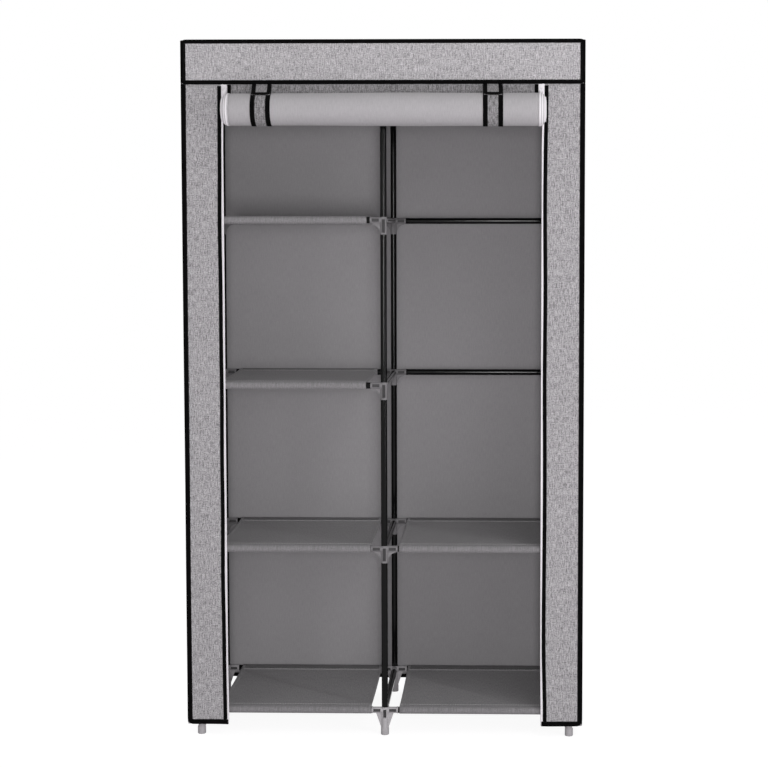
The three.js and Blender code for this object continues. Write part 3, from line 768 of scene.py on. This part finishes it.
def worked(body, tools, operation):
    """The body with the tools joined on or cut away."""
    items = []
    for mesh in (body, *tools):
        items.append(bpy.data.objects.new("work", mesh))
        bpy.context.scene.collection.objects.link(items[-1])
    for tool in items[1:]:
        modifier = items[0].modifiers.new("work", "BOOLEAN")
        modifier.object, modifier.operation, modifier.solver = tool, operation, "MANIFOLD"
    graph = bpy.context.evaluated_depsgraph_get()
    result = bpy.data.meshes.new_from_object(items[0].evaluated_get(graph))
    for item in items:
        bpy.data.objects.remove(item)
    return result


def crisp(mesh):
    mesh.polygons.foreach_set("use_smooth", [True] * len(mesh.polygons))
    mesh.set_sharp_from_angle(angle=math.radians(32))
    return mesh


print("Booleans use the Manifold solver")

# %% Hubs, arms and webs, in millimetres
REACH = 33.7
FOOT = TIERS[0] / MM
CAP = (box("upright_front_centre")[1][2] - TIERS[4]) / MM
lower_rim = [(8.5, -36), (8.9, -35.6), (8.9, -33.4), (8.5, -33)]
upper_rim = [(8.5, 5), (8.9, 5.4), (8.9, 7.6), (8.5, 8)]
dome = [(9.6 * math.cos(a), 14 + (CAP - 14) * math.sin(a)) for a in np.linspace(0.15, 1.45, 8)]
hubs = {
    "foot": turned([(9.3, -FOOT), (10.3, 1.2 - FOOT), (10.3, 17.4 - FOOT), (9.9, 18.6 - FOOT),
                    (8.5, 21 - FOOT), *upper_rim]),
    "mid": turned(lower_rim + upper_rim),
    "top": turned([*lower_rim, (8.5, 7), (9.6, 8), *dome]),
}
arm = turned([(7.2, 0), (7.9, 0.5), (7.9, REACH - 3.4), (8.8, REACH - 3.0), (8.8, REACH - 0.5),
              (8.3, REACH)], 32)


def hollowed(start, end, pull):
    """A hollowed edge between two corners, pulled towards a third."""
    share = np.linspace(0, 1, 10)[:, None]
    curve = (1 - share) ** 2 * start + 2 * share * (1 - share) * pull + share**2 * end
    return [tuple(at) for at in curve]


start, end, pull = (np.array(p) for p in ((REACH - 5, -9.6), (8, -33), (12, -12)))
web = slab([(0, 0), (REACH - 4, 0), (REACH - 4, -8.6), *hollowed(start, end, pull), (0, -33)], 4)
start, end, pull = (np.array(p) for p in ((22, -8.6), (9.8, -44), (16.5, -23)))
foot_web = slab([(0, 0), (23, 0), (22.5, -8), *hollowed(start, end, pull), (0, -45)], 4.6)
print("web corners:", len(web.vertices))

# %% Connectors joined
EAST, NORTH, WEST, SOUTH = 0.0, math.pi / 2, math.pi, -math.pi / 2
OPEN_TIERS = (2, 3)  # beside the hanging space, where no front rail is
ARM_START, ARM_FLOOR = 11, 3.2  # where an arm's pockets start, and their floors from its middle
HUB_FLOOR, HUB_HALF = 1.5, 4  # a hub's pocket: its floor from the hub's axis, and half its width
NEAR = 0.05


def pocketed(mesh, sides, outward):
    """Gives the pockets' floors the second finish, a dark one that paints the shade in the pockets."""
    centre = np.array([face.center for face in mesh.polygons]) / MM
    normal = np.array([face.normal for face in mesh.polygons])
    floor = np.zeros(len(centre), bool)
    for heading in (*sides, outward):
        turn = np.array([[math.cos(heading), math.sin(heading)], [-math.sin(heading), math.cos(heading)]])
        (x, y), (facing, sideways) = turn @ centre[:, :2].T, turn @ normal[:, :2].T
        if heading == outward:
            flat = np.abs(facing) > 0.9
            floor |= flat & (np.abs(x - HUB_FLOOR) < NEAR) & (np.abs(y) < HUB_HALF + NEAR)
        else:
            flat = np.abs(sideways) > 0.9
            floor |= flat & (np.abs(np.abs(y) - ARM_FLOOR) < NEAR) & (x > ARM_START - NEAR) & (x < REACH)
    mesh.polygons.foreach_set("material_index", floor.astype(np.int32))
    return mesh


def connector(kind, sides, outward):
    """A hub with an arm on each side. Its pockets face out of the frame and both ways on the arms."""
    joins, cuts = [], []
    for heading in sides:
        joins.append(moved(arm, heading, tip=math.pi / 2))
        joins.append(moved(foot_web if kind == "foot" else web, heading))
        for y in ((-9, -ARM_FLOOR), (ARM_FLOOR, 9)):
            cuts.append(moved(block((ARM_START, REACH - 4.6), y, (-3.9, 3.9)), heading))
    heights = (-19, 2) if kind == "foot" else (-31, 2)
    cuts.append(moved(block((HUB_FLOOR, 12), (-HUB_HALF, HUB_HALF), heights), outward))
    whole = worked(worked(hubs[kind].copy(), joins, "UNION"), cuts, "DIFFERENCE")
    return pocketed(crisp(whole), sides, outward)


def sides_of(row, column, tier):
    sides = {"left": [EAST], "centre": [EAST, WEST], "right": [WEST]}[column]
    if row == "front" and tier in OPEN_TIERS:
        sides = {"left": [EAST], "centre": [WEST], "right": []}[column]
    return sides


patterns = {}
for row, y in ROWS.items():
    inward, outward = (NORTH, SOUTH) if row == "front" else (SOUTH, NORTH)
    for column, x in POSTS.items():
        for tier, z in enumerate(TIERS):
            kind, node = {0: "foot", 4: "top"}.get(tier, "mid"), f"upright_{row}_{column}"
            sides = sides_of(row, column, tier)
            key = (kind, row, *sides)
            if key not in patterns:
                patterns[key] = connector(kind, [inward, *sides], outward)
            mesh = moved(patterns[key], place=(x, y, z))
            # The bottom connectors take the lighter copy, whose paleness is painted light from the floor.
            coat = lit_foot_plastic if kind == "foot" else grey_plastic
            finished(f"connector_{row}_{column}_{tier + 1}", mesh, coat, "upright", (node,),
                     lining=pocket_shade_plastic)
print("patterns:", len(patterns), "connectors:", sum(n.startswith("connector") for n in made))

# %% [markdown]
# The hanging rail's two holders are short sleeves moulded round the top crossbars, each with one arm.

# %% Holders
sleeve = turned([(8.6, -15), (10.1, -14.4), (10.5, -13), (10.5, 13), (10.1, 14.4), (8.6, 15)])
sleeve.transform(Matrix.Rotation(math.pi / 2, 4, "X"))
for column, heading in (("centre", EAST), ("right", WEST)):
    whole = crisp(worked(sleeve.copy(), [moved(arm, heading, tip=math.pi / 2)], "UNION"))
    whole.transform(Matrix.Translation((POSTS[column], middle("hanging_rail")[1], TIERS[4])))
    finished(f"rail_holder_{column}", whole, grey_plastic, "upright", (f"crossbar_{column}_5",))
print("holders: 2")

# %% [markdown]
# ## Cloth and its trimmings
# The size each cloth was cut to is worked out when it is made. Cloth doesn't stretch, so that size is
# measured along the folds: the longest line across and the longest line along.

# %% Cloth, bindings and rims
def cloth(name, place, across, along, finish, slot, stands_for, held, rests_on, pieces, thick=1.0 * MM,
          **more):
    mesh = sheet_mesh(name, place, across, along, thick, lined="lining" in more)
    piece = finished(name, mesh, finish, slot, stands_for, **more)
    u, v = np.meshgrid(np.linspace(across[0], across[-1], 160), np.linspace(along[0], along[-1], 900))
    sheet = place(u, v, 0 * u)
    wide = np.linalg.norm(np.diff(sheet, axis=1), axis=2).sum(1).max()
    long = np.linalg.norm(np.diff(sheet, axis=0), axis=2).sum(0).max()
    return piece


def bound(name, place, path, width, thick, slot, stands_for, seam, body="wardrobe"):
    """A black binding with a row of stitches beside its middle."""
    tape = band(name, place, path, width, thick, black_tape, slot, stands_for, body)
    row = stitches(f"{name}_stitches", place, beside(path, seam), black_thread, slot, stands_for,
                   0.46 * thick, body)
    return [tape, row]


def rim_path(low, high, inset):
    """Round all four edges of a panel, starting in the middle of its foot and ending a hair before it."""
    (u0, v0), (u1, v1) = np.array(low) + inset, np.array(high) - inset
    centre, hair = (u0 + u1) / 2, 0.02 * MM
    return eased([(centre, v0), (u1, v0), (u1, v1), (u0, v1), (u0, v0), (centre - hair, v0)])


print("flat sizes are measured along the folds")

# %% [markdown]
# ## Front panels, header and zips
# Beside the door hangs a narrow panel on each side, bound in black on both edges, with half a zip along
# its inner edge. The header is the strip above the door, which is sewn on behind it. In Blender they are
# three flat sheets with a little wave: the cloth is sewn to the side panels, so it can only move a few
# millimetres. The corner binding and the hem are one tape that turns the corner, as it is sewn on the
# real one.

# %% Front panels
WAVE, LEAN = 1.7 * MM, 1.4 * MM
LEAN_LOW, LEAN_HIGH = 80 * MM, 1600 * MM  # the heights between which the panels lean
THICK = 3.4 * MM  # of most bindings


def front_place(u, v, lift):
    """The wave fades upwards and at the zip, and the lean at the hem, the header and the corner."""
    loose = WAVE * rising(TOP - v, TOP) * rising(abs(u) - ZIP - 4 * MM, 20 * MM) + 0.2 * MM
    upright = rising(np.minimum(LEAN_HIGH - v, v - LEAN_LOW), 120 * MM)
    lean = LEAN * upright * rising(HALF - abs(u), 70 * MM)
    return point(u - lean, FRONT - lift + loose * ripple(u, v * 0.45, 0.16, 4), v)


for side, sign in SIGNS.items():
    name, nodes = f"front_{side}", (f"cover_front_{side}",)
    seam = ZIP + 8.2 * MM
    outer, foot = HALF - 6.5 * MM, HEM + 6.5 * MM
    edge = eased([(sign * outer, PANEL_HEAD), (sign * outer, foot), (sign * (ZIP + 5.4 * MM), foot)])
    rise = np.arange(HEM + 11 * MM, PANEL_HEAD, 5 * MM)
    wander = 1.1 * MM * ripple(rise, 0 * rise, 0.28, 11 + sign)
    inside = path_of(sign * (seam + 5 * MM + wander), rise)
    parts = bound(f"{name}_edge", front_place, edge, 13 * MM, THICK, "cover_cloth", nodes, -5 * sign * MM)
    parts += bound(f"{name}_inside", front_place, inside, 10 * MM, THICK, "cover_cloth", nodes,
                   -4 * sign * MM)
    wide = stations(sign * (ZIP + 3.6 * MM), sign * (seam + 2 * MM), 3 * MM)
    tape = sheet_mesh("tape", front_place, wide, stations(HEM + 2 * MM, PANEL_HEAD, 6 * MM), 0.9 * MM)
    parts.append(finished(f"{name}_zip_tape", tape, white_tape, "cover_cloth", nodes))
    rise = np.linspace(HEM + 11.4 * MM, PANEL_HEAD, 300)
    line = front_place(np.full(300, sign * (ZIP + 4.9 * MM)), rise, 0 * rise)
    parts.append(zip_coil(f"{name}_zip_coil", line, 3.4 * MM, 3.7 * MM, nodes))
    cloth(f"{name}_cloth", front_place, stations(sign * (seam + 1.5 * MM), sign * (HALF - 2 * MM), 10 * MM),
          stations(HEM + 1.5 * MM, PANEL_HEAD, 11 * MM), heather, "cover_cloth", nodes, "hung",
          ["cover_header"], parts)
print("front panels: 2")

# %% Header
nodes = ("cover_header",)
around = rim_path((-HALF, HEADER_FOOT), (HALF, CROWN), 5.2 * MM)
parts = bound("header_edge", front_place, around, 10.4 * MM, 3.6 * MM, "cover_cloth", nodes, 4 * MM)
for side, sign in SIGNS.items():
    at = sign * (HALF - 6.5 * MM)
    corner = eased([(at, HEADER_FOOT + 3 * MM), (at, CROWN - 3 * MM)])
    parts.append(band(f"header_{side}_corner", front_place, corner, 13 * MM, 3.2 * MM, black_tape,
                      "cover_cloth", nodes))
cloth("header_cloth", front_place, stations(-HALF + 2 * MM, HALF - 2 * MM, 11 * MM),
      stations(HEADER_FOOT + 2 * MM, CROWN - 2 * MM, 9 * MM), pale_heather, "cover_cloth", nodes, "hung",
      ["cover_top_cloth"], parts)
print("header bound all round")

# %% [markdown]
# ## Sides, back and top
# The sides and back are single panels that hang in shallow folds, deeper towards the hem, because only
# the top and the corners hold them. The fold is a cosine across the panel that fades out upwards. A cloth
# simulation would settle into much the same shape in minutes, and this takes no time and always comes out
# alike. The top rests on the six domes of the frame and sags between them. Cloth is printed on its outer
# face only, so the inside of each panel gets the plainer finish. That finish is also darker than the same
# face on the roll, as painted shade inside the wardrobe.

# %% Sides
def folds(share, height, count, depth):
    """Folds side by side across a hanging panel, none at the top and deepest at the floor."""
    return (1 - np.cos(math.tau * count * share)) / 2 * depth * rising(TOP - height, TOP)


def waves(share, ripples, depth):
    """Shallow waves inwards that end at the panel's two edges."""
    return (ripples + 1) * depth * np.sin(math.pi * np.clip(share, 0, 1))


def side_place(sign):
    def place(u, v, lift):
        share = (u - FRONT) / (BACK - FRONT)
        inwards = folds(share, v, 3, 6 * MM) + waves(share, ripple(u, v * 0.4, 0.2, 21 + sign), 0.8 * MM)
        return point(sign * (SIDE + lift - inwards), u, v)
    return place


for side, sign in SIGNS.items():
    place, name, nodes = side_place(sign), f"side_{side}", (f"cover_{side}_side",)
    around = rim_path((FRONT - 1.6 * MM, HEM), (BACK + 1.6 * MM, TOP + 1.4 * MM), 5 * MM)
    parts = bound(f"{name}_edge", place, around, 10 * MM, THICK, "cover_cloth", nodes, 3.6 * MM)
    cloth(f"{name}_cloth", place, stations(FRONT + MM, BACK - MM, 10 * MM),
          stations(HEM + 2 * MM, TOP - MM, 12 * MM), loose_heather, "cover_cloth", nodes, "hung",
          ["cover_top_cloth"], parts, lining=inner)
print("sides: 2")

# %% Back
def back_place(u, v, lift):
    share = u / (2 * HALF) + 0.5
    inwards = folds(share, v, 5, 4.5 * MM) + waves(share, ripple(u, v * 0.4, 0.22, 31), 0.7 * MM)
    return point(u, BACK + lift - inwards, v)


nodes = ("cover_back",)
around = rim_path((-HALF, BACK_HEM), (HALF, TOP + 1.4 * MM), 5.4 * MM)
parts = bound("back_edge", back_place, around, 10.8 * MM, THICK, "cover_cloth", nodes, 3.8 * MM)
cloth("back_cloth", back_place, stations(-HALF + 2 * MM, HALF - 2 * MM, 11 * MM),
      stations(BACK_HEM + 2 * MM, TOP - MM, 12 * MM), loose_heather, "inner_cloth", nodes, "hung",
      ["cover_top_cloth"], parts, lining=inner)
print("back panel done")

# %% Top
def top_place(u, v, lift):
    span = POSTS["right"]
    between = np.where(np.abs(u) < span, np.sin(math.pi * u / span) ** 2, 0)
    hold = between * np.sin(math.pi * rising(v - FRONT, BACK - FRONT))
    sag = 7 * MM + (ripple(u, v, 0.21, 41) + 1) * 0.6 * MM
    return point(u, v, TOP + lift - sag * hold)


nodes = ("cover_top",)
around = rim_path((-HALF, FRONT - 1.4 * MM), (HALF, BACK + 2 * MM), 5.2 * MM)
parts = bound("top_edge", top_place, around, 10.4 * MM, THICK, "cover_cloth", nodes, 3.8 * MM)
cloth("cover_top_cloth", top_place, stations(-HALF + 2 * MM, HALF - 2 * MM, 11 * MM),
      stations(FRONT + 2 * MM, BACK - 2 * MM, 11 * MM), loose_heather, "cover_cloth", nodes, "stretched",
      [f"connector_{row}_{column}_5" for row in ROWS for column in POSTS], parts, lining=inner)
print("top panel done")

# %% [markdown]
# ## Shelves
# A shelf is one strip of cloth whose ends are turned under the front and the rear rail and sewn back to
# it, which makes a sleeve round each rail. Some shelves are pushed against the centre post's connector
# and others leave a bit of bare tube, as in the photograph. Round the front rail the cloth gets a darker
# copy of its finish, as painted shade on the front of the sleeve. Along the rear rail it is doubled, and
# that doubled part is coloured as a dark band up to a raised fold, which is painted shade at the back of
# the shelf. The strip sags a few millimetres between the rails. It is laid out along its own section: up
# from the seam, round the rail, across, and round the other rail, so the cloth is one piece with its true
# length. The sleeve and the sheet could be modelled apart, but they would meet in a line that cloth never
# has.

# %% Cloth laid along a section
def laid(section, side=1):
    """A place function for cloth along a section of (y, z) points. The lift is to the section's left."""
    section = np.array(section, float)
    run = np.r_[0, np.cumsum(np.linalg.norm(np.diff(section, axis=0), axis=1))]
    way = headings(section)

    def place(u, v, lift):
        y, z = (np.interp(v, run, section[:, n]) for n in (0, 1))
        dy, dz = (np.interp(v, run, way[:, n]) for n in (0, 1))
        return point(u, y - side * lift * dz, z + side * lift * dy)
    return place, run


def shelf_section(level):
    wrap, seam, sag = 8.9 * MM, 17 * MM, 5 * MM
    front, rear = ROWS["front"], ROWS["rear"]
    reach, seam_drop = rear - front, wrap - 1.9 * MM
    low = math.atan2(seam_drop, seam) - math.acos(wrap / math.hypot(seam, seam_drop))
    turn = np.linspace(low, -1.5 * math.pi + 0.03, 26)
    start = np.array([(front + seam, seam_drop)])
    loop = np.stack([front + wrap * np.cos(turn), wrap * np.sin(turn)], 1)
    share = np.linspace(0, 1, 40)[1:-1]
    sheet = np.stack([front + reach * share, wrap - sag * 4 * share * (1 - share)], 1)
    near = np.concatenate([stations(0, 1, 0.25)[:-1, None] * (loop[0] - start) + start, loop])
    far = near[::-1] * (-1, 1) + (front + rear, 0)
    return np.concatenate([near, sheet, far]) + (0, level), len(near)


print("a shelf's section has", len(shelf_section(0)[0]), "points")

# %% Six shelves
# How much bare tube shows between a shelf and the centre connector, in millimetres
BARE = {"left_1": 0.8, "left_2": 0.8, "left_3": 11, "left_4": 8, "right_1": 3.4, "right_2": 3.4}
FRONT_SEAM, REAR_SEAM = 19 * MM, 36 * MM  # from where the sheet leaves each rail to its row of stitches
# The cloth is doubled this far at the rear, and the band over it is coloured very dark as painted shade.
DOUBLED_AND_SHADED = 42 * MM  # how far the cloth is doubled at the rear, up to its raised fold
for node in sorted(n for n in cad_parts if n.startswith("shelf_")):
    low, high = box(node)
    low, high, bay = low + 3 * MM, high - 3 * MM, node[6:]
    inner_edge = (REACH + BARE[bay]) * MM
    if bay.startswith("left"):
        high[0] = -inner_edge
    else:
        low[0] = inner_edge
    level = TIERS[int(node[-1]) - 1]
    section, turns = shelf_section(level)
    place, run = laid(section)
    rows = np.concatenate([run[:turns], stations(run[turns - 1], run[-turns], 9 * MM)[1:-1], run[-turns:]])
    front_end, rear_end = run[turns - 1], run[-turns]
    inset = 2.5 * MM
    parts = []
    wide = stations(low[0] + inset, high[0] - inset, 6 * MM)
    for label, at in (("front", front_end + FRONT_SEAM), ("rear", rear_end - REAR_SEAM)):
        parts.append(stitches(f"{node}_{label}_stitches", place, path_of(wide, at), grey_thread,
                              "shelf_cloth", (node,), 1.3 * MM, pitch=4.2 * MM, width=1.2 * MM))
    # The rear band: the doubled cloth, made very dark to paint the shade at the back of the shelf.
    double = path_of(wide, rear_end - DOUBLED_AND_SHADED / 2 + MM)
    parts.append(band(f"{node}_sleeve", place, double, DOUBLED_AND_SHADED + 2 * MM, 2.2 * MM, rear_shading, "shelf_cloth",
                      (node,)))
    parts.append(band(f"{node}_fold", place, path_of(wide, rear_end - DOUBLED_AND_SHADED), 4 * MM, 4.4 * MM, shelving,
                      "shelf_cloth", (node,), lift=0.4 * MM))
    for label, at in (("left", low[0] + 4.5 * MM), ("right", high[0] - 4.5 * MM)):
        hem = path_of(at, np.linspace(front_end + 4 * MM, rear_end - 4 * MM, 60))
        parts.append(band(f"{node}_{label}_hem", place, hem, 8 * MM, 2.4 * MM, shelving, "shelf_cloth",
                          (node,)))
    rails = [f"rail_{node.split('_')[1]}_{row}_{node[-1]}_tube" for row in ROWS]
    piece = cloth(f"{node}_cloth", place, stations(low[0], high[0], 9 * MM), rows, shelving, "shelf_cloth",
                  (node,), "stretched", rails, parts, lining=rail_cloth)
    # The faces in front of the front rail take the darker copy: painted shade on the front of the sleeve.
    front = [int(face.center.y < ROWS["front"] - 2 * MM) for face in piece.data.polygons]
    piece.data.polygons.foreach_set("material_index", front)
print("shelves:", sum(n.startswith("shelf") and n.endswith("_cloth") for n in made))

# %% [markdown]
# ## The rolled door
# The door is one strip of cloth: it comes out from under the header, hangs down behind the roll, and is
# wound from its hem forwards, so the roll shows the plain inside of the cloth. Its section is a spiral,
# and the roll is a little lumpy, because the zip at each end is thicker than the cloth. The zip's white
# tape runs along both edges of the strip and bulges out of the ends of the roll. It was rolled by hand
# and sits six millimetres to the right of where it hangs from. It took the left tie with it, and the
# right one by a millimetre. Screw or Spin modifiers make perfect rings, whereas one long strip along a
# spiral keeps the cloth's real length and shows the layers at its ends.

# %% The roll's section
STAND_OFF = 49.5 * MM  # of the roll's axis, from the plane of the zips
AXIS = np.array([FRONT - STAND_OFF, HEADER_FOOT - 65 * MM])
LAYER, OUTER, TURNS, SLID = 2.4 * MM, 40.75 * MM, 7.714, 6 * MM
ROUND_FROM, ROUND_OVER = 381 * MM, 16 * MM  # where the roll's ends start to round off, and over what length
head = np.array([STAND_OFF, PANEL_HEAD - AXIS[1]])
bend = np.array([STAND_OFF, 50 * MM])


def on_roll(radius, turn):
    return np.stack([-radius * np.sin(turn), radius * np.cos(turn)], -1)


def tangent_turn(at, radius, side):
    """Where a line from a point meets a circle round the roll's axis."""
    return math.atan2(-at[0], at[1]) + side * math.acos(radius / math.hypot(*at))


def straight(start, end, count):
    share = np.linspace(0, 1, count)[:, None]
    return (np.array(start) * (1 - share) + np.array(end) * share)[:-1]


def lumps(u, turn):
    """How far the roll stands out or in, by place along it and turn round it. Its left end is slimmer."""
    slim = rising(-u - 140 * MM, 240 * MM) ** 2
    round_it, along_it = 0.5 * np.sin(turn + 2.1 + 5 * u), 0.45 * np.sin(14 * u + 1.3)
    return (round_it + 0.35 * np.sin(2 * turn + 9 * u) + along_it - 1.6 * slim) * MM


def wound(section, hold, side=1, slid=SLID):
    """A place function for cloth wound on the roll. hold is 1 where the roll shapes it, 0 where it hangs."""
    flat, run = laid(section, side)

    def place(u, v, lift):
        spot = flat(u, v, lift)
        y, z = spot[..., 1], spot[..., 2]
        held = np.interp(v, run, hold)
        radius = np.hypot(y, z)
        rounded = np.sqrt(1 - 0.72 * rising(np.abs(u) - ROUND_FROM, ROUND_OVER) ** 2) - 1
        size = 1 + held * (rounded + lumps(u, np.arctan2(-y, z)) / radius)
        return point(u + slid * held, AXIS[0] + y * size, AXIS[1] + z * size)
    return place, run


print("turns:", TURNS)

# %% Door cloth
leave = tangent_turn(bend, OUTER, -1)
turn = leave - np.linspace(0, math.tau * TURNS, round(46 * TURNS))
spiral = on_roll(OUTER - LAYER * (leave - turn) / math.tau, turn)
strip = np.concatenate([straight(head, bend, 6), straight(bend, spiral[0], 14)])
section = np.concatenate([strip, spiral])
hold = np.r_[np.clip(np.linspace(-0.6, 1, len(strip)), 0, 1), np.ones(len(spiral))]
door_place, run = wound(section, hold)
door_edge, hang = ZIP - 8 * MM, run[len(strip)]
TAPE_FROM, TAPE_WIDE, COIL_AT = 377 * MM, 20 * MM, 394.3 * MM
COIL_RUN = 235 * MM  # how far into the roll its teeth are made, before they are out of sight
nodes, parts = ("rolled_door",), []
for side, sign in SIGNS.items():

    def tape_place(u, v, lift, sign=sign):
        """The tape lies narrow where the door hangs, and is spread where it is rolled."""
        held = np.interp(v, run, hold)
        near, far = 383.5 * MM - 6.5 * MM * held, 389.8 * MM + 7.2 * MM * held
        across = (np.abs(u) - TAPE_FROM) / TAPE_WIDE * (far - near)
        return door_place(sign * (near + across), v, lift + 0.95 * MM)

    path = path_of(sign * (door_edge - 3.4 * MM), np.linspace(MM, hang + 8 * MM, 14))
    parts.append(band(f"door_{side}_binding", door_place, path, 9.4 * MM, 2.2 * MM, black_tape,
                      "cover_cloth", nodes, lift=-0.5 * MM))
    across = stations(sign * TAPE_FROM, sign * (ZIP + 6 * MM), 2 * MM)
    tape = sheet_mesh("tape", tape_place, across, run, 0.6 * MM)
    parts.append(finished(f"door_{side}_zip_tape", tape, white_tape, "cover_cloth", nodes))
    along = np.linspace(MM, hang + COIL_RUN, 240)
    line = tape_place(np.full(240, sign * COIL_AT), along, MM)
    parts.append(zip_coil(f"door_{side}_zip_coil", line, 3.2 * MM, 2.2 * MM, nodes))
# The door's outer face, seen above the roll, takes the darker copy of the cover's cloth: painted shade under
# the header.
cloth("door_cloth", door_place, stations(-door_edge, door_edge, 14 * MM), run, rolled, "rolled_cloth", nodes,
      "folded", ["header_cloth"], parts, lining=shaded_heather)
print("door length:", round(run[-1], 3))

# %% [markdown]
# ## Ties and their tabs
# Two ties are sewn under the header, pass round the roll and come up in front of it, where a short tab
# hooks over each end. Both are the cover's cloth, in a darker copy of its finish that paints shade on
# them, with a black binding on each edge. They go through the same winding function as the door, so they
# lie on its lumps instead of floating over a perfect cylinder.

# %% Ties
TIE_HALF = 24.5 * MM  # half of a tie's width
tie_head = head + (1.4 * MM, 0)
tie_bend = bend + (1.4 * MM, 0)
tie_end = np.array([43.5 * MM, HEADER_FOOT - AXIS[1] - 4 * MM])
first, last = 42.1 * MM, 40.5 * MM
starts, ends = tangent_turn(tie_bend, first, -1), tangent_turn(tie_end, last, 1) - math.tau
turn = np.linspace(starts, ends, 46)
loop = on_roll(np.linspace(first, last, 46), turn)
section = np.concatenate([straight(tie_head, tie_bend, 6), straight(tie_bend, loop[0], 12), loop,
                          straight(loop[-1], tie_end, 14)[1:], [tie_end]])
hold = np.r_[np.clip(np.linspace(-0.6, 1, 16), 0, 1), np.ones(46), np.linspace(1, 0, 13)]
PULLED = {"left": SLID, "right": 1 * MM}
for side in SIGNS:
    tie_place, run = wound(section, hold, slid=PULLED[side])
    centre = middle(f"strap_tab_{side}")[0]
    parts = []
    for label, sign in SIGNS.items():
        path = path_of(centre + sign * (TIE_HALF - 6 * MM), np.linspace(MM, run[-1] - MM, 90))
        parts += bound(f"tie_{side}_{label}", tie_place, path, 12 * MM, 1.9 * MM, "cover_cloth", nodes,
                       4.4 * sign * MM)
    across = stations(centre - TIE_HALF + 2 * MM, centre + TIE_HALF - 2 * MM, 7 * MM)
    cloth(f"tie_{side}_cloth", tie_place, across, stations(0, run[-1], 3 * MM), shaded_heather, "cover_cloth",
          nodes, "folded", ["door_cloth"], parts)
print("tie length:", round(run[-1], 3))

# %% Tabs
strap_turn = tangent_turn(tie_end, last, 1)
tab_radius = last + 2.1 * MM
at = on_roll(tab_radius, strap_turn)
hinge_y = STAND_OFF - 3.3 * MM
hinge = np.array([hinge_y, at[1] + (hinge_y - at[0]) * math.tan(strap_turn)])
wrap = on_roll(tab_radius, np.linspace(strap_turn, strap_turn + 0.27, 8))
section = np.concatenate([straight(hinge, wrap[0], 12), wrap])
hold = np.r_[np.linspace(0, 1, 11), np.ones(8)]
for side in SIGNS:
    tab_place, run = wound(section, hold, side=-1, slid=PULLED[side])
    node, body = f"strap_tab_{side}", f"tab_{side}"
    centre = middle(node)[0]
    u0, u1, foot = centre - TIE_HALF + 5.4 * MM, centre + TIE_HALF - 5.4 * MM, run[-1] - 4.6 * MM
    path = eased([(u0, MM), (u0, foot), (u1, foot), (u1, MM)], step=2.5 * MM, radius=3 * MM)
    parts = bound(f"tab_{side}_edge", tab_place, path, 11 * MM, 2 * MM, "cover_cloth", (node,), 4 * MM, body)
    row = path_of(np.linspace(u0, u1, 14), foot - 3.6 * MM)
    parts.append(band(f"tab_{side}_foot", tab_place, row, 12 * MM, 2.4 * MM, black_tape, "cover_cloth",
                      (node,), body))
    across = stations(centre - TIE_HALF + 2 * MM, centre + TIE_HALF - 2 * MM, 7 * MM)
    cloth(f"tab_{side}_cloth", tab_place, across, stations(0, run[-1], 3 * MM), shaded_heather, "cover_cloth",
          (node,), "hung", ["header_cloth"], parts, body=body)
print("tab length:", round(run[-1], 4))

# %% [markdown]
# ## Sliders and pulls
# The sliders and pulls are small castings whose solids already have the right shape: two plates, a
# divider, the arch and the pull's window. They stay as they are and only get their white enamel, with
# small chips and a mist of roughness.

# %% Enamel on the sliders and pulls
for node in ("zip_slider_left", "zip_slider_right", "zip_pull_left", "zip_pull_right"):
    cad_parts[node].material_slots[0].material = enamel
print("enamelled: 4")

# %% [markdown]
# ## Sizes
# The dressed wardrobe's box is compared with the frame's, and how far each side differs is printed.

# %% Boxes and the end
dressed_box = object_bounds()
grown = [round(float(abs(a - b)) / MM, 1) for s, d in zip(solid_box, dressed_box) for a, b in zip(s, d)]
print("pieces:", len(made), "box differs by (mm):", grown)
